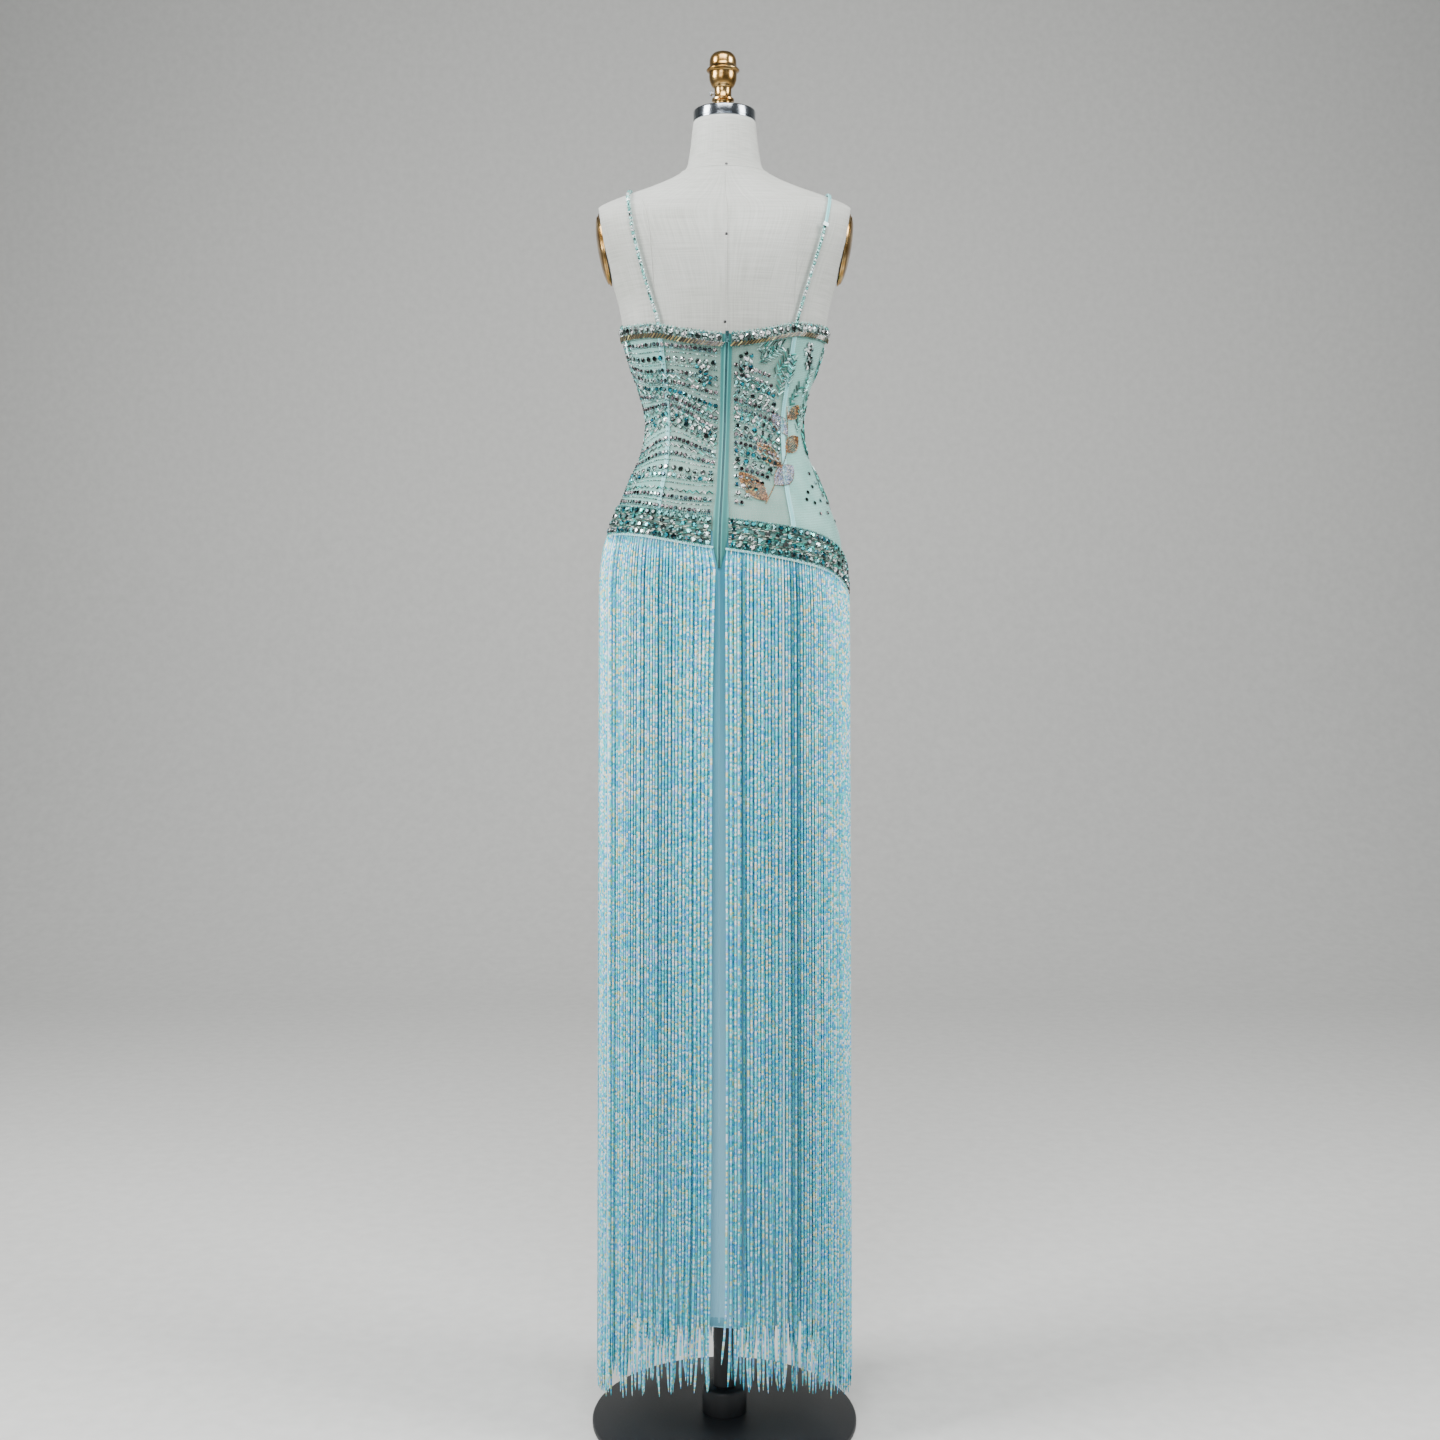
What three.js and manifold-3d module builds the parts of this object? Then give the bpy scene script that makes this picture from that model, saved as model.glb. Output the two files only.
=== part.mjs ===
// Evening dress with a net bodice, a beaded hip band and a long fringe, on a limbless dress form.
// Millimetres, +Z up. The wearer faces +Y and the wearer's right is +X. The origin is on the floor
// under the middle of the base.

import * as THREE from 'three';
import Module from 'manifold-3d';

const wasm = await Module();
wasm.setup();

// Driving sizes, in mm

const SEAM_GAP = 0.3;
const FORM_CLEARANCE = 1.5;
const CLOTH_WALL = 1.2;
const LAYER_CLEARANCE = 0.8;
const CLOTH_OUT = FORM_CLEARANCE + CLOTH_WALL;
const LAYER_IN = CLOTH_OUT + LAYER_CLEARANCE;

// Edges that curve differently need more room than a straight seam
const EDGE_GAP = 0.8;

const FORM_BOTTOM = 1062;
const NECK_TOP = 1752;
const HEM_HEIGHT = 164;
const ZIP_END_HEIGHT = 1150;

const TRIM_HEIGHT = 18;
const CASING_WIDTH = 6.5;
const CASING_WALL = 1.1;
const ZIP_TAPE_WALL = 1.0;
const STRAP_RADIUS = 2.2;
const STRAP_CLEARANCE = 1.3;
const BAND_WALL = 1.6;
const BAND_ROWS = 5;
const BAND_ROW_LIFT = 1.2;
const STRIP_HEIGHT = 5;
const STRIP_WALL = 3.2;

// Where lengths round the hip are measured, and how far trim, band and fringe stop short of the
// middle of the zip
const HIP_HEIGHT = 1150;
const ZIP_AXIS = { x: 3.3, z: 1452 };
const ZIP_PART = { trim: 4.6, band: 12.2, fringe: 8.2 };

// Cross sections of the form: half width, depth behind and before the middle plane, and how square
// the outline is (2 is an ellipse)
const FORM_SECTIONS = [
  { z: 1062, halfWidth: 153, back: 104, front: 98, square: 2.2 },
  { z: 1100, halfWidth: 157, back: 110, front: 100, square: 2.2 },
  { z: 1140, halfWidth: 158, back: 112, front: 100, square: 2.2 },
  { z: 1190, halfWidth: 154, back: 108, front: 99, square: 2.2 },
  { z: 1235, halfWidth: 138.5, back: 98, front: 96, square: 2.15 },
  { z: 1272, halfWidth: 123.5, back: 87, front: 92, square: 2.1 },
  { z: 1304, halfWidth: 110, back: 79, front: 88, square: 2.1 },
  { z: 1345, halfWidth: 103.5, back: 73, front: 84, square: 2.1 },
  { z: 1386, halfWidth: 112.5, back: 77, front: 90, square: 2.1 },
  { z: 1418, halfWidth: 123.5, back: 83, front: 100, square: 2.15 },
  { z: 1450, halfWidth: 133, back: 90, front: 113, square: 2.2 },
  { z: 1500, halfWidth: 142, back: 96, front: 125, square: 2.2 },
  { z: 1540, halfWidth: 153, back: 99, front: 120, square: 2.4 },
  { z: 1580, halfWidth: 166, back: 97, front: 104, square: 2.7 },
  { z: 1612, halfWidth: 172, back: 87, front: 86, square: 3.0 },
  { z: 1629, halfWidth: 172.5, back: 76, front: 71, square: 2.8 },
  { z: 1637, halfWidth: 164, back: 70, front: 64, square: 2.5 },
  { z: 1649, halfWidth: 136, back: 63, front: 57, square: 2.3 },
  { z: 1660, halfWidth: 106, back: 59, front: 53, square: 2.1 },
  { z: 1673, halfWidth: 75, back: 55, front: 50, square: 2.0 },
  { z: 1686, halfWidth: 54, back: 51, front: 48, square: 2.0 },
  { z: 1704, halfWidth: 48, back: 47.5, front: 46.5, square: 2.0 },
  { z: 1744, halfWidth: 43, back: 43, front: 43, square: 2.0 },
  { z: 1752, halfWidth: 42, back: 42, front: 42, square: 2.0 },
];

// The underskirt hangs from the hip, below the form, to its hem
const SKIRT_SECTIONS = [
  { z: 164, halfWidth: 158, back: 99, front: 95, square: 2.1 },
  { z: 620, halfWidth: 158, back: 105, front: 98, square: 2.15 },
  { z: 1000, halfWidth: 157, back: 110, front: 100, square: 2.2 },
  ...FORM_SECTIONS.filter((row) => row.z >= 1140),
];

// The fringe falls straight from the fullest part of the hip
const FRINGE_SECTION = { halfWidth: 167, back: 119, front: 108, square: 2.15 };
const FRINGE_SPLAY = 2.5;

// Upper edge of the bodice round the body. Angles are degrees from the centre back, growing
// towards the wearer's right.
const TOP_EDGE = [
  { angle: -90, z: 1471 },
  { angle: -60, z: 1468 },
  { angle: -39, z: 1466 },
  { angle: -18, z: 1457 },
  { angle: 0, z: 1452 },
  { angle: 18, z: 1457 },
  { angle: 41, z: 1468 },
  { angle: 62, z: 1469 },
  { angle: 90, z: 1471 },
  { angle: 112, z: 1494 },
  { angle: 138, z: 1537 },
  { angle: 158, z: 1531 },
  { angle: 180, z: 1512 },
  { angle: 202, z: 1531 },
  { angle: 222, z: 1537 },
  { angle: 248, z: 1494 },
  { angle: 270, z: 1471 },
];

// The hip band falls to just before the wearer's right side and rises again across the front
const BAND_EDGES = [
  { angle: -90, upper: 1234, lower: 1195 },
  { angle: -55, upper: 1229, lower: 1194 },
  { angle: -35, upper: 1224, lower: 1189 },
  { angle: -5, upper: 1213, lower: 1175 },
  { angle: 13, upper: 1207, lower: 1167 },
  { angle: 41, upper: 1197, lower: 1154 },
  { angle: 58, upper: 1187, lower: 1144 },
  { angle: 72, upper: 1174, lower: 1132 },
  { angle: 90, upper: 1151, lower: 1114 },
  { angle: 108, upper: 1136, lower: 1102 },
  { angle: 125, upper: 1138, lower: 1102 },
  { angle: 150, upper: 1155, lower: 1116 },
  { angle: 180, upper: 1181, lower: 1141 },
  { angle: 210, upper: 1206, lower: 1166 },
  { angle: 240, upper: 1225, lower: 1186 },
  { angle: 270, upper: 1234, lower: 1195 },
];

// Seam lines, as the distance of each from the middle plane at a height
const CENTRE_BACK_LINE = [
  { z: 100, x: -6.8 },
  { z: 1150, x: -6.8 },
  { z: 1190, x: -6.2 },
  { z: 1260, x: -2.9 },
  { z: 1331, x: 0 },
  { z: 1400, x: 1.8 },
  { z: 1470, x: 3.6 },
];
const BACK_PRINCESS = [
  { z: 1100, left: -90, right: 93 },
  { z: 1200, left: -87, right: 88 },
  { z: 1250, left: -81, right: 80 },
  { z: 1283, left: -75, right: 77 },
  { z: 1345, left: -73, right: 75 },
  { z: 1410, left: -78, right: 84 },
  { z: 1480, left: -87, right: 94 },
];
const FRONT_PRINCESS = [
  { z: 1080, x: 88 },
  { z: 1200, x: 82 },
  { z: 1345, x: 58 },
  { z: 1450, x: 78 },
  { z: 1545, x: 88 },
];
const ZIP_TAPE_EDGE = [
  { z: 1140, x: 6.6 },
  { z: 1181, x: 6.6 },
  { z: 1186, x: 9.6 },
  { z: 1215, x: 9.6 },
  { z: 1250, x: 7.4 },
  { z: 1470, x: 7.4 },
];

// The straps climb the back, cross the shoulder and come down to the front top edge
const STRAP_LINES = [
  { z: 1466, leftBack: -84, rightBack: 91, leftFront: -78, rightFront: 78 },
  { z: 1530, leftBack: -103, rightBack: 110, leftFront: -92, rightFront: 93 },
  { z: 1586, leftBack: -118, rightBack: 127, leftFront: -110, rightFront: 114 },
  { z: 1636, leftBack: -127, rightBack: 138, leftFront: -123, rightFront: 134 },
];
const SHOULDER_HEIGHT = 1636;

// Helpers for tables, sections and closed skins

// A smooth value of a column of a table at a place, by a cubic through its rows
function smoothAt(table, key, column, place) {
  const last = table.length - 1;
  const clamped = Math.min(Math.max(place, table[0][key]), table[last][key]);
  let i = 0;
  while (i < last - 1 && table[i + 1][key] < clamped) i += 1;
  const slope = (k) => {
    const before = table[Math.max(k - 1, 0)];
    const after = table[Math.min(k + 1, last)];
    return (after[column] - before[column]) / (after[key] - before[key]);
  };
  const step = table[i + 1][key] - table[i][key];
  const t = (clamped - table[i][key]) / step;
  const fromEnd = 1 - t;
  return table[i][column] * (1 + 2 * t) * fromEnd ** 2 + table[i + 1][column] * (3 - 2 * t) * t ** 2
    + step * t * fromEnd * (slope(i) * fromEnd - slope(i + 1) * t);
}

// A smooth value round the body, where the table runs from -90 to 270 degrees
function roundAt(table, column, angle) {
  const degrees = THREE.MathUtils.radToDeg(angle);
  const wrapped = THREE.MathUtils.euclideanModulo(degrees + 90, 360) - 90;
  return smoothAt(table, 'angle', column, wrapped);
}

function sectionAt(table, z) {
  const value = (column) => smoothAt(table, 'z', column, z);
  return { halfWidth: value('halfWidth'), back: value('back'), front: value('front'), square: value('square') };
}

// A point of a section, moved out, at an angle from the centre back
function sectionPoint(section, angle, z, out) {
  const side = Math.sin(angle);
  const rear = Math.cos(angle);
  const power = 2 / section.square;
  const depth = rear > 0 ? section.back : section.front;
  const x = (section.halfWidth + out) * Math.sign(side) * Math.abs(side) ** power;
  const y = -(depth + out) * Math.sign(rear) * Math.abs(rear) ** power;
  return new THREE.Vector3(x, y, z);
}

const formPoint = (angle, z, out) => sectionPoint(sectionAt(FORM_SECTIONS, z), angle, z, out);
const skirtPoint = (angle, z, out) => sectionPoint(sectionAt(SKIRT_SECTIONS, z), angle, z, out);

// The band stands off the hip a little at its lowest point, by its own weight
const BAND_FLARE = { angle: 98, spread: 26, lift: 5, from: 1185, over: 60 };

function bandPoint(angle, z, out) {
  const away = (THREE.MathUtils.radToDeg(angle) - BAND_FLARE.angle) / BAND_FLARE.spread;
  const low = THREE.MathUtils.clamp((BAND_FLARE.from - z) / BAND_FLARE.over, 0, 1);
  return skirtPoint(angle, z, out + BAND_FLARE.lift * low * Math.exp(-(away ** 2)));
}

// The angle of a point of the section that lies x from the middle plane, behind or before it
function angleAtX(x, z, atFront) {
  const section = sectionAt(SKIRT_SECTIONS, z);
  const angle = Math.asin(Math.min(Math.abs(x) / section.halfWidth, 1) ** (section.square / 2)) * Math.sign(x);
  return atFront ? Math.PI - angle : angle;
}

// The angle that a length along the section covers
function angleOfLength(length, angle, z) {
  const probe = 0.02;
  const chord = skirtPoint(angle + probe, z, 0).distanceTo(skirtPoint(angle - probe, z, 0));
  return (length * 2 * probe) / chord;
}

function indexedGeometry(points, triangles) {
  const geometry = new THREE.BufferGeometry().setFromPoints(points);
  geometry.setIndex(triangles);
  return geometry;
}

const evenShares = (count) => [...Array(count + 1).keys()].map((j) => j / count);

// A wall between an outer and an inner grid of points, closed along its four edges. The shares say
// how far up the wall each row of points lies.
function wallBetween(columns, shares, outerPoint, innerPoint) {
  const rows = shares.length - 1;
  const points = [];
  const triangles = [];
  const quad = (a, b, c, d) => triangles.push(a, b, c, a, c, d);
  for (const pointAt of [outerPoint, innerPoint]) {
    for (let i = 0; i <= columns; i += 1) {
      for (const share of shares) points.push(pointAt(i / columns, share));
    }
  }
  const outer = (i, j) => i * (rows + 1) + j;
  const inner = (i, j) => (columns + 1) * (rows + 1) + outer(i, j);
  for (let i = 0; i < columns; i += 1) {
    for (let j = 0; j < rows; j += 1) {
      quad(outer(i, j), outer(i + 1, j), outer(i + 1, j + 1), outer(i, j + 1));
      quad(inner(i, j), inner(i, j + 1), inner(i + 1, j + 1), inner(i + 1, j));
    }
    quad(outer(i, 0), inner(i, 0), inner(i + 1, 0), outer(i + 1, 0));
    quad(outer(i, rows), outer(i + 1, rows), inner(i + 1, rows), inner(i, rows));
  }
  for (let j = 0; j < rows; j += 1) {
    quad(outer(0, j), outer(0, j + 1), inner(0, j + 1), inner(0, j));
    quad(outer(columns, j), inner(columns, j), inner(columns, j + 1), outer(columns, j + 1));
  }
  return indexedGeometry(points, triangles);
}

// A skin over rings of points, with a cap at each end. The outline gives a ring's flat shape, for
// the caps, and rings and outline run anticlockwise seen from beyond the last ring.
function loft(rings, outline) {
  const count = rings[0].length;
  const triangles = [];
  for (let i = 0; i < rings.length - 1; i += 1) {
    for (let k = 0; k < count; k += 1) {
      const a = i * count + k;
      const b = i * count + ((k + 1) % count);
      triangles.push(a, b, b + count, a, b + count, a + count);
    }
  }
  const top = (rings.length - 1) * count;
  for (const [a, b, c] of THREE.ShapeUtils.triangulateShape(outline, [])) {
    triangles.push(a, c, b, top + a, top + b, top + c);
  }
  return indexedGeometry(rings.flat(), triangles);
}

function toSolid(geometry) {
  const position = geometry.getAttribute('position');
  const mesh = new wasm.Mesh({
    numProp: 3,
    vertProperties: new Float32Array(position.array),
    triVerts: new Uint32Array(geometry.getIndex().array),
  });
  return new wasm.Manifold(mesh);
}

function fromSolid(solid) {
  const mesh = solid.getMesh();
  const geometry = new THREE.BufferGeometry();
  geometry.setAttribute('position', new THREE.BufferAttribute(new Float32Array(mesh.vertProperties), 3));
  geometry.setIndex(new THREE.BufferAttribute(new Uint32Array(mesh.triVerts), 1));
  return geometry;
}

// A closed box between two corners, with shared vertices
function block(low, high) {
  const outline = [[low.x, low.y], [high.x, low.y], [high.x, high.y], [low.x, high.y]];
  const ring = (z) => outline.map(([x, y]) => new THREE.Vector3(x, y, z));
  return loft([ring(low.z), ring(high.z)], outline.map(([x, y]) => new THREE.Vector2(x, y)));
}

const dress = new THREE.Group();

function addMesh(name, geometry, material) {
  const mesh = new THREE.Mesh(geometry, material);
  mesh.name = name;
  dress.add(mesh);
  return mesh;
}

// Materials

const finish = (color, roughness, metalness = 0) => new THREE.MeshStandardMaterial({ color, roughness, metalness });
const linen = finish('#c9cbc6', 0.85);
const chrome = finish('#c8ccd0', 0.22, 1);
const brass = finish('#c9a063', 0.35, 1);
const darkSteel = finish('#3a3d40', 0.5, 0.9);
const net = finish('#b7d9d2', 0.7);
const satinTape = finish('#a9dcdd', 0.55);
const crystalTrim = finish('#8fb9b4', 0.3, 0.2);
const beadBand = finish('#4f9a9b', 0.3, 0.2);
const zipTape = finish('#6db7b4', 0.6);
const enamel = finish('#1f4a4d', 0.3, 0.4);
const satin = finish('#8fbed2', 0.45);
const fringeBeads = finish('#9fd3df', 0.3);

// Dress form

const FORM_SIDES = 34;
const FORM_RINGS = [
  1062, 1100, 1140, 1165, 1190, 1212, 1235, 1254, 1272, 1288, 1304, 1324, 1345, 1366, 1386, 1402, 1418, 1434,
  1450, 1475, 1500, 1520, 1540, 1560, 1580, 1597, 1612, 1622, 1629, 1637, 1649, 1660, 1673, 1686, 1704, 1744, 1752,
];
// The armhole is a flat face that leans in towards the waist
const ARMHOLE = { x: 161.5, z: 1588, lean: 0.168 };
// Its plate is an oval dome, set a little below the middle of the face
const ARM_PLATE = { down: 8, halfHeight: 49, halfDepth: 39 };
const ARM_PLATE_PROFILE = [
  { share: 1, out: 0 },
  { share: 1, out: 1.4 },
  { share: 0.93, out: 4.4 },
  { share: 0.78, out: 7.3 },
  { share: 0.55, out: 9.4 },
  { share: 0.28, out: 10.5 },
];

function torso() {
  const sides = [...Array(FORM_SIDES).keys()].map((k) => (k * 2 * Math.PI) / FORM_SIDES);
  const rings = FORM_RINGS.map((z) => sides.map((angle) => formPoint(angle, z, 0)));
  const outline = rings[0].map((point) => new THREE.Vector2(point.x, point.y));
  let solid = toSolid(loft(rings, outline));
  const cut = { height: 64, depth: 160, width: 60 };
  for (const side of [-1, 1]) {
    const cutter = block(
      new THREE.Vector3(0, -cut.depth, -cut.height),
      new THREE.Vector3(cut.width, cut.depth, cut.height),
    );
    if (side < 0) cutter.rotateZ(Math.PI);
    cutter.rotateY(side * ARMHOLE.lean);
    cutter.translate(side * ARMHOLE.x, 0, ARMHOLE.z);
    solid = solid.subtract(toSolid(cutter));
  }
  return fromSolid(solid);
}

function armPlate(side) {
  const profile = [[0, 0], ...ARM_PLATE_PROFILE.map(({ share, out }) => [share, out]), [0, 10.8]];
  const geometry = turned(profile, 20);
  geometry.scale(ARM_PLATE.halfHeight, ARM_PLATE.halfDepth, 1);
  geometry.translate(side * ARM_PLATE.down, 0, SEAM_GAP);
  // The dome's height goes outward and its long axis upright
  geometry.rotateY(side * Math.PI / 2);
  return geometry;
}

// A turned piece from radii at heights, closed on the axis
function turned(profile, sides) {
  const points = profile.map(([radius, z]) => new THREE.Vector2(radius, z));
  const geometry = new THREE.LatheGeometry(points, sides);
  geometry.rotateX(Math.PI / 2);
  return geometry;
}

const NECK_CAP = { radius: 42, height: 15.5, chamfer: 1.5 };
const CAP_BOTTOM = NECK_TOP + SEAM_GAP;
const CAP_TOP = CAP_BOTTOM + NECK_CAP.height;
const FINIAL_BOTTOM = CAP_TOP + SEAM_GAP;
const STEM_RADIUS = 11.5;
// The finial stands a little to the wearer's left
const FINIAL_SHIFT = -2;

function neckCap() {
  return turned([
    [0, CAP_BOTTOM],
    [NECK_CAP.radius, CAP_BOTTOM],
    [NECK_CAP.radius, CAP_TOP - NECK_CAP.chamfer],
    [NECK_CAP.radius - NECK_CAP.chamfer, CAP_TOP],
    [0, CAP_TOP],
  ], 36);
}

// A short stem with a flange, a bulb, and a domed cap with a flared rim
function finial() {
  return turned([
    [0, FINIAL_BOTTOM],
    [15, FINIAL_BOTTOM],
    [15, 1771],
    [STEM_RADIUS, 1773],
    [STEM_RADIUS, 1780],
    [15, 1781.5],
    [15, 1784],
    [STEM_RADIUS, 1785.5],
    [STEM_RADIUS, 1798.5],
    [15.6, 1802],
    [18.3, 1808],
    [18.6, 1820],
    [22.3, 1821.5],
    [22.3, 1823.5],
    [18.3, 1827.5],
    [18.3, 1836],
    [16.9, 1841],
    [13, 1845.3],
    [6.5, 1847.6],
    [0, 1848],
  ], 20);
}

// The thumb screw stands in the stem of the finial, on the wearer's left
const THUMB_SCREW = { z: 1792, shank: 1.6, reach: 5, headHalf: 3.4, headRadius: 1.7 };

function thumbScrew() {
  const start = STEM_RADIUS + SEAM_GAP;
  const corners = [...Array(8).keys()].map((k) => (k * Math.PI) / 4);
  const end = -start - THUMB_SCREW.reach;
  const rings = [end, -start].map((x) => corners.map((turn) => new THREE.Vector3(
    x,
    THUMB_SCREW.shank * Math.cos(turn),
    THUMB_SCREW.z + THUMB_SCREW.shank * Math.sin(turn),
  )));
  const shank = loft(rings, corners.map((turn) => new THREE.Vector2(Math.cos(turn), Math.sin(turn))));
  const head = block(
    new THREE.Vector3(end - 2, -THUMB_SCREW.headRadius, THUMB_SCREW.z - THUMB_SCREW.headHalf),
    new THREE.Vector3(end + 1, THUMB_SCREW.headRadius, THUMB_SCREW.z + THUMB_SCREW.headHalf),
  );
  return fromSolid(toSolid(shank).add(toSolid(head)));
}

const BASE = { radius: 178, edge: 6, height: 12 };
const POLE = { radius: 15, collar: 30, collarHeight: 34, flange: 48, flangeHeight: 8 };

function base() {
  return turned([
    [0, 0],
    [BASE.radius, 0],
    [BASE.radius, BASE.edge],
    [BASE.radius - 3, BASE.edge + 2],
    [40, BASE.height],
    [0, BASE.height],
  ], 40);
}

function pole() {
  const foot = BASE.height + SEAM_GAP;
  const top = FORM_BOTTOM - SEAM_GAP;
  return turned([
    [0, foot],
    [POLE.collar, foot],
    [POLE.collar, foot + POLE.collarHeight - 4],
    [POLE.collar - 4, foot + POLE.collarHeight],
    [POLE.radius, foot + POLE.collarHeight],
    [POLE.radius, top - POLE.flangeHeight],
    [POLE.flange, top - POLE.flangeHeight],
    [POLE.flange, top],
    [0, top],
  ], 24);
}

addMesh('form_torso', torso(), linen);
for (const [name, side] of [['form_arm_plate_left', -1], ['form_arm_plate_right', 1]]) {
  const plate = addMesh(name, armPlate(side), brass);
  plate.position.set(side * ARMHOLE.x, 0, ARMHOLE.z);
  plate.rotation.y = side * ARMHOLE.lean;
}
addMesh('form_neck_cap', neckCap(), chrome);
for (const [name, geometry, material] of [
  ['form_finial', finial(), brass],
  ['form_finial_screw', thumbScrew(), chrome],
]) addMesh(name, geometry, material).position.setX(FINIAL_SHIFT);
addMesh('form_pole', pole(), darkSteel);
addMesh('form_base', base(), darkSteel);

// Net bodice

const topEdge = (angle) => roundAt(TOP_EDGE, 'z', angle);
const bandUpper = (angle) => roundAt(BAND_EDGES, 'upper', angle);
const bandLower = (angle) => roundAt(BAND_EDGES, 'lower', angle);
// Bodice and skirt meet under the middle of the hip band
const joinHeight = (angle) => (bandUpper(angle) + bandLower(angle)) / 2;

const QUARTER = Math.PI / 2;
const seams = {
  centreBack: (z) => angleAtX(smoothAt(CENTRE_BACK_LINE, 'z', 'x', z), z, false),
  backLeft: (z) => angleAtX(smoothAt(BACK_PRINCESS, 'z', 'left', z), z, false),
  backRight: (z) => angleAtX(smoothAt(BACK_PRINCESS, 'z', 'right', z), z, false),
  sideLeft: () => -QUARTER,
  sideRight: () => QUARTER,
  frontRight: (z) => angleAtX(smoothAt(FRONT_PRINCESS, 'z', 'x', z), z, true),
  frontLeft: (z) => -angleAtX(smoothAt(FRONT_PRINCESS, 'z', 'x', z), z, true),
};

// The angle where a seam line meets the height that lies a share of the way between two edges
function seamAngle(seam, lowerEdge, upperEdge, share) {
  let angle = seam(1300);
  for (let pass = 0; pass < 8; pass += 1) {
    angle = seam(THREE.MathUtils.lerp(lowerEdge(angle), upperEdge(angle), share));
  }
  return angle;
}

// A panel between two seams and two edges, as a wall that lies on the figure
function panel(from, to, lowerEdge, upperEdge, pointAt, columns, shares) {
  const place = (u, v, out) => {
    const start = seamAngle(from, lowerEdge, upperEdge, v);
    const middle = lowerEdge(start) * (1 - v) + upperEdge(start) * v;
    let end = seamAngle(to, lowerEdge, upperEdge, v);
    if (end < start) end += 2 * Math.PI;
    const inset = angleOfLength(SEAM_GAP / 2, start, middle);
    const insetEnd = angleOfLength(SEAM_GAP / 2, end, middle);
    const angle = THREE.MathUtils.lerp(start + inset, end - insetEnd, u);
    const z = THREE.MathUtils.lerp(lowerEdge(angle), upperEdge(angle), v);
    return pointAt(angle, z, out);
  };
  return wallBetween(columns, shares, (u, v) => place(u, v, CLOTH_OUT), (u, v) => place(u, v, FORM_CLEARANCE));
}

const bodiceLower = (angle) => joinHeight(angle) + EDGE_GAP / 2;
const BODICE_ROWS = 15;
const FRONT_ROWS = 19;
const BODICE_PANELS = [
  { name: 'bodice_back_left', from: 'backLeft', to: 'centreBack', columns: 4, rows: BODICE_ROWS },
  { name: 'bodice_back_right', from: 'centreBack', to: 'backRight', columns: 4, rows: BODICE_ROWS },
  { name: 'bodice_side_back_right', from: 'backRight', to: 'sideRight', columns: 5, rows: BODICE_ROWS },
  { name: 'bodice_side_front_right', from: 'sideRight', to: 'frontRight', columns: 5, rows: FRONT_ROWS },
  { name: 'bodice_front', from: 'frontRight', to: 'frontLeft', columns: 8, rows: FRONT_ROWS },
  { name: 'bodice_side_front_left', from: 'frontLeft', to: 'sideLeft', columns: 5, rows: FRONT_ROWS },
  { name: 'bodice_side_back_left', from: 'sideLeft', to: 'backLeft', columns: 5, rows: BODICE_ROWS },
];
for (const { name, from, to, columns, rows } of BODICE_PANELS) {
  const shares = evenShares(rows);
  addMesh(name, panel(seams[from], seams[to], bodiceLower, topEdge, formPoint, columns, shares), net);
}

// Boning casings over the princess seams, between the top trim and the hip band

const casingLower = (angle) => bandUpper(angle) + EDGE_GAP;
const casingUpper = (angle) => topEdge(angle) - TRIM_HEIGHT - EDGE_GAP;

// A strip that follows a seam line, moved out from the panels
function seamStrip(seam, lowerEdge, upperEdge, leftEdge, rightEdge, wall, rows) {
  const place = (u, v, out) => {
    const middle = seamAngle(seam, lowerEdge, upperEdge, v);
    const middleZ = THREE.MathUtils.lerp(lowerEdge(middle), upperEdge(middle), v);
    const across = THREE.MathUtils.lerp(leftEdge(middleZ), rightEdge(middleZ), u);
    const angle = middle + angleOfLength(1, middle, middleZ) * across;
    return formPoint(angle, THREE.MathUtils.lerp(lowerEdge(angle), upperEdge(angle), v), out);
  };
  return wallBetween(1, evenShares(rows), (u, v) => place(u, v, LAYER_IN + wall), (u, v) => place(u, v, LAYER_IN));
}

for (const [name, seam] of [
  ['casing_back_left', seams.backLeft],
  ['casing_back_right', seams.backRight],
  ['casing_front_right', seams.frontRight],
  ['casing_front_left', seams.frontLeft],
]) {
  const half = () => CASING_WIDTH / 2;
  addMesh(name, seamStrip(seam, casingLower, casingUpper, () => -half(), half, CASING_WALL, 14), satinTape);
}

// Top trim: a row of slanted bugles below a fuller row of crystals

// A ribbed strip round the body between two angles. The profile gives, for each row, the share of
// the strip's height and how far its outside stands off the inside; the inside is plain.
function ribbedStrip(start, end, lowerEdge, upperEdge, inside, profile, columns, insideRows = 1) {
  const plain = evenShares(insideRows).map((share) => ({ share, lift: 0 }));
  const rows = [...plain, ...[...profile].reverse()];
  const rings = [...Array(columns + 1).keys()].map((i) => {
    const angle = THREE.MathUtils.lerp(start, end, i / columns);
    return rows.map(({ share, lift }) => {
      const z = THREE.MathUtils.lerp(lowerEdge(angle), upperEdge(angle), share);
      return bandPoint(angle, z, inside + lift);
    });
  });
  const height = 30;
  return loft(rings, rows.map(({ share, lift }) => new THREE.Vector2(share * height, lift)));
}

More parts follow.
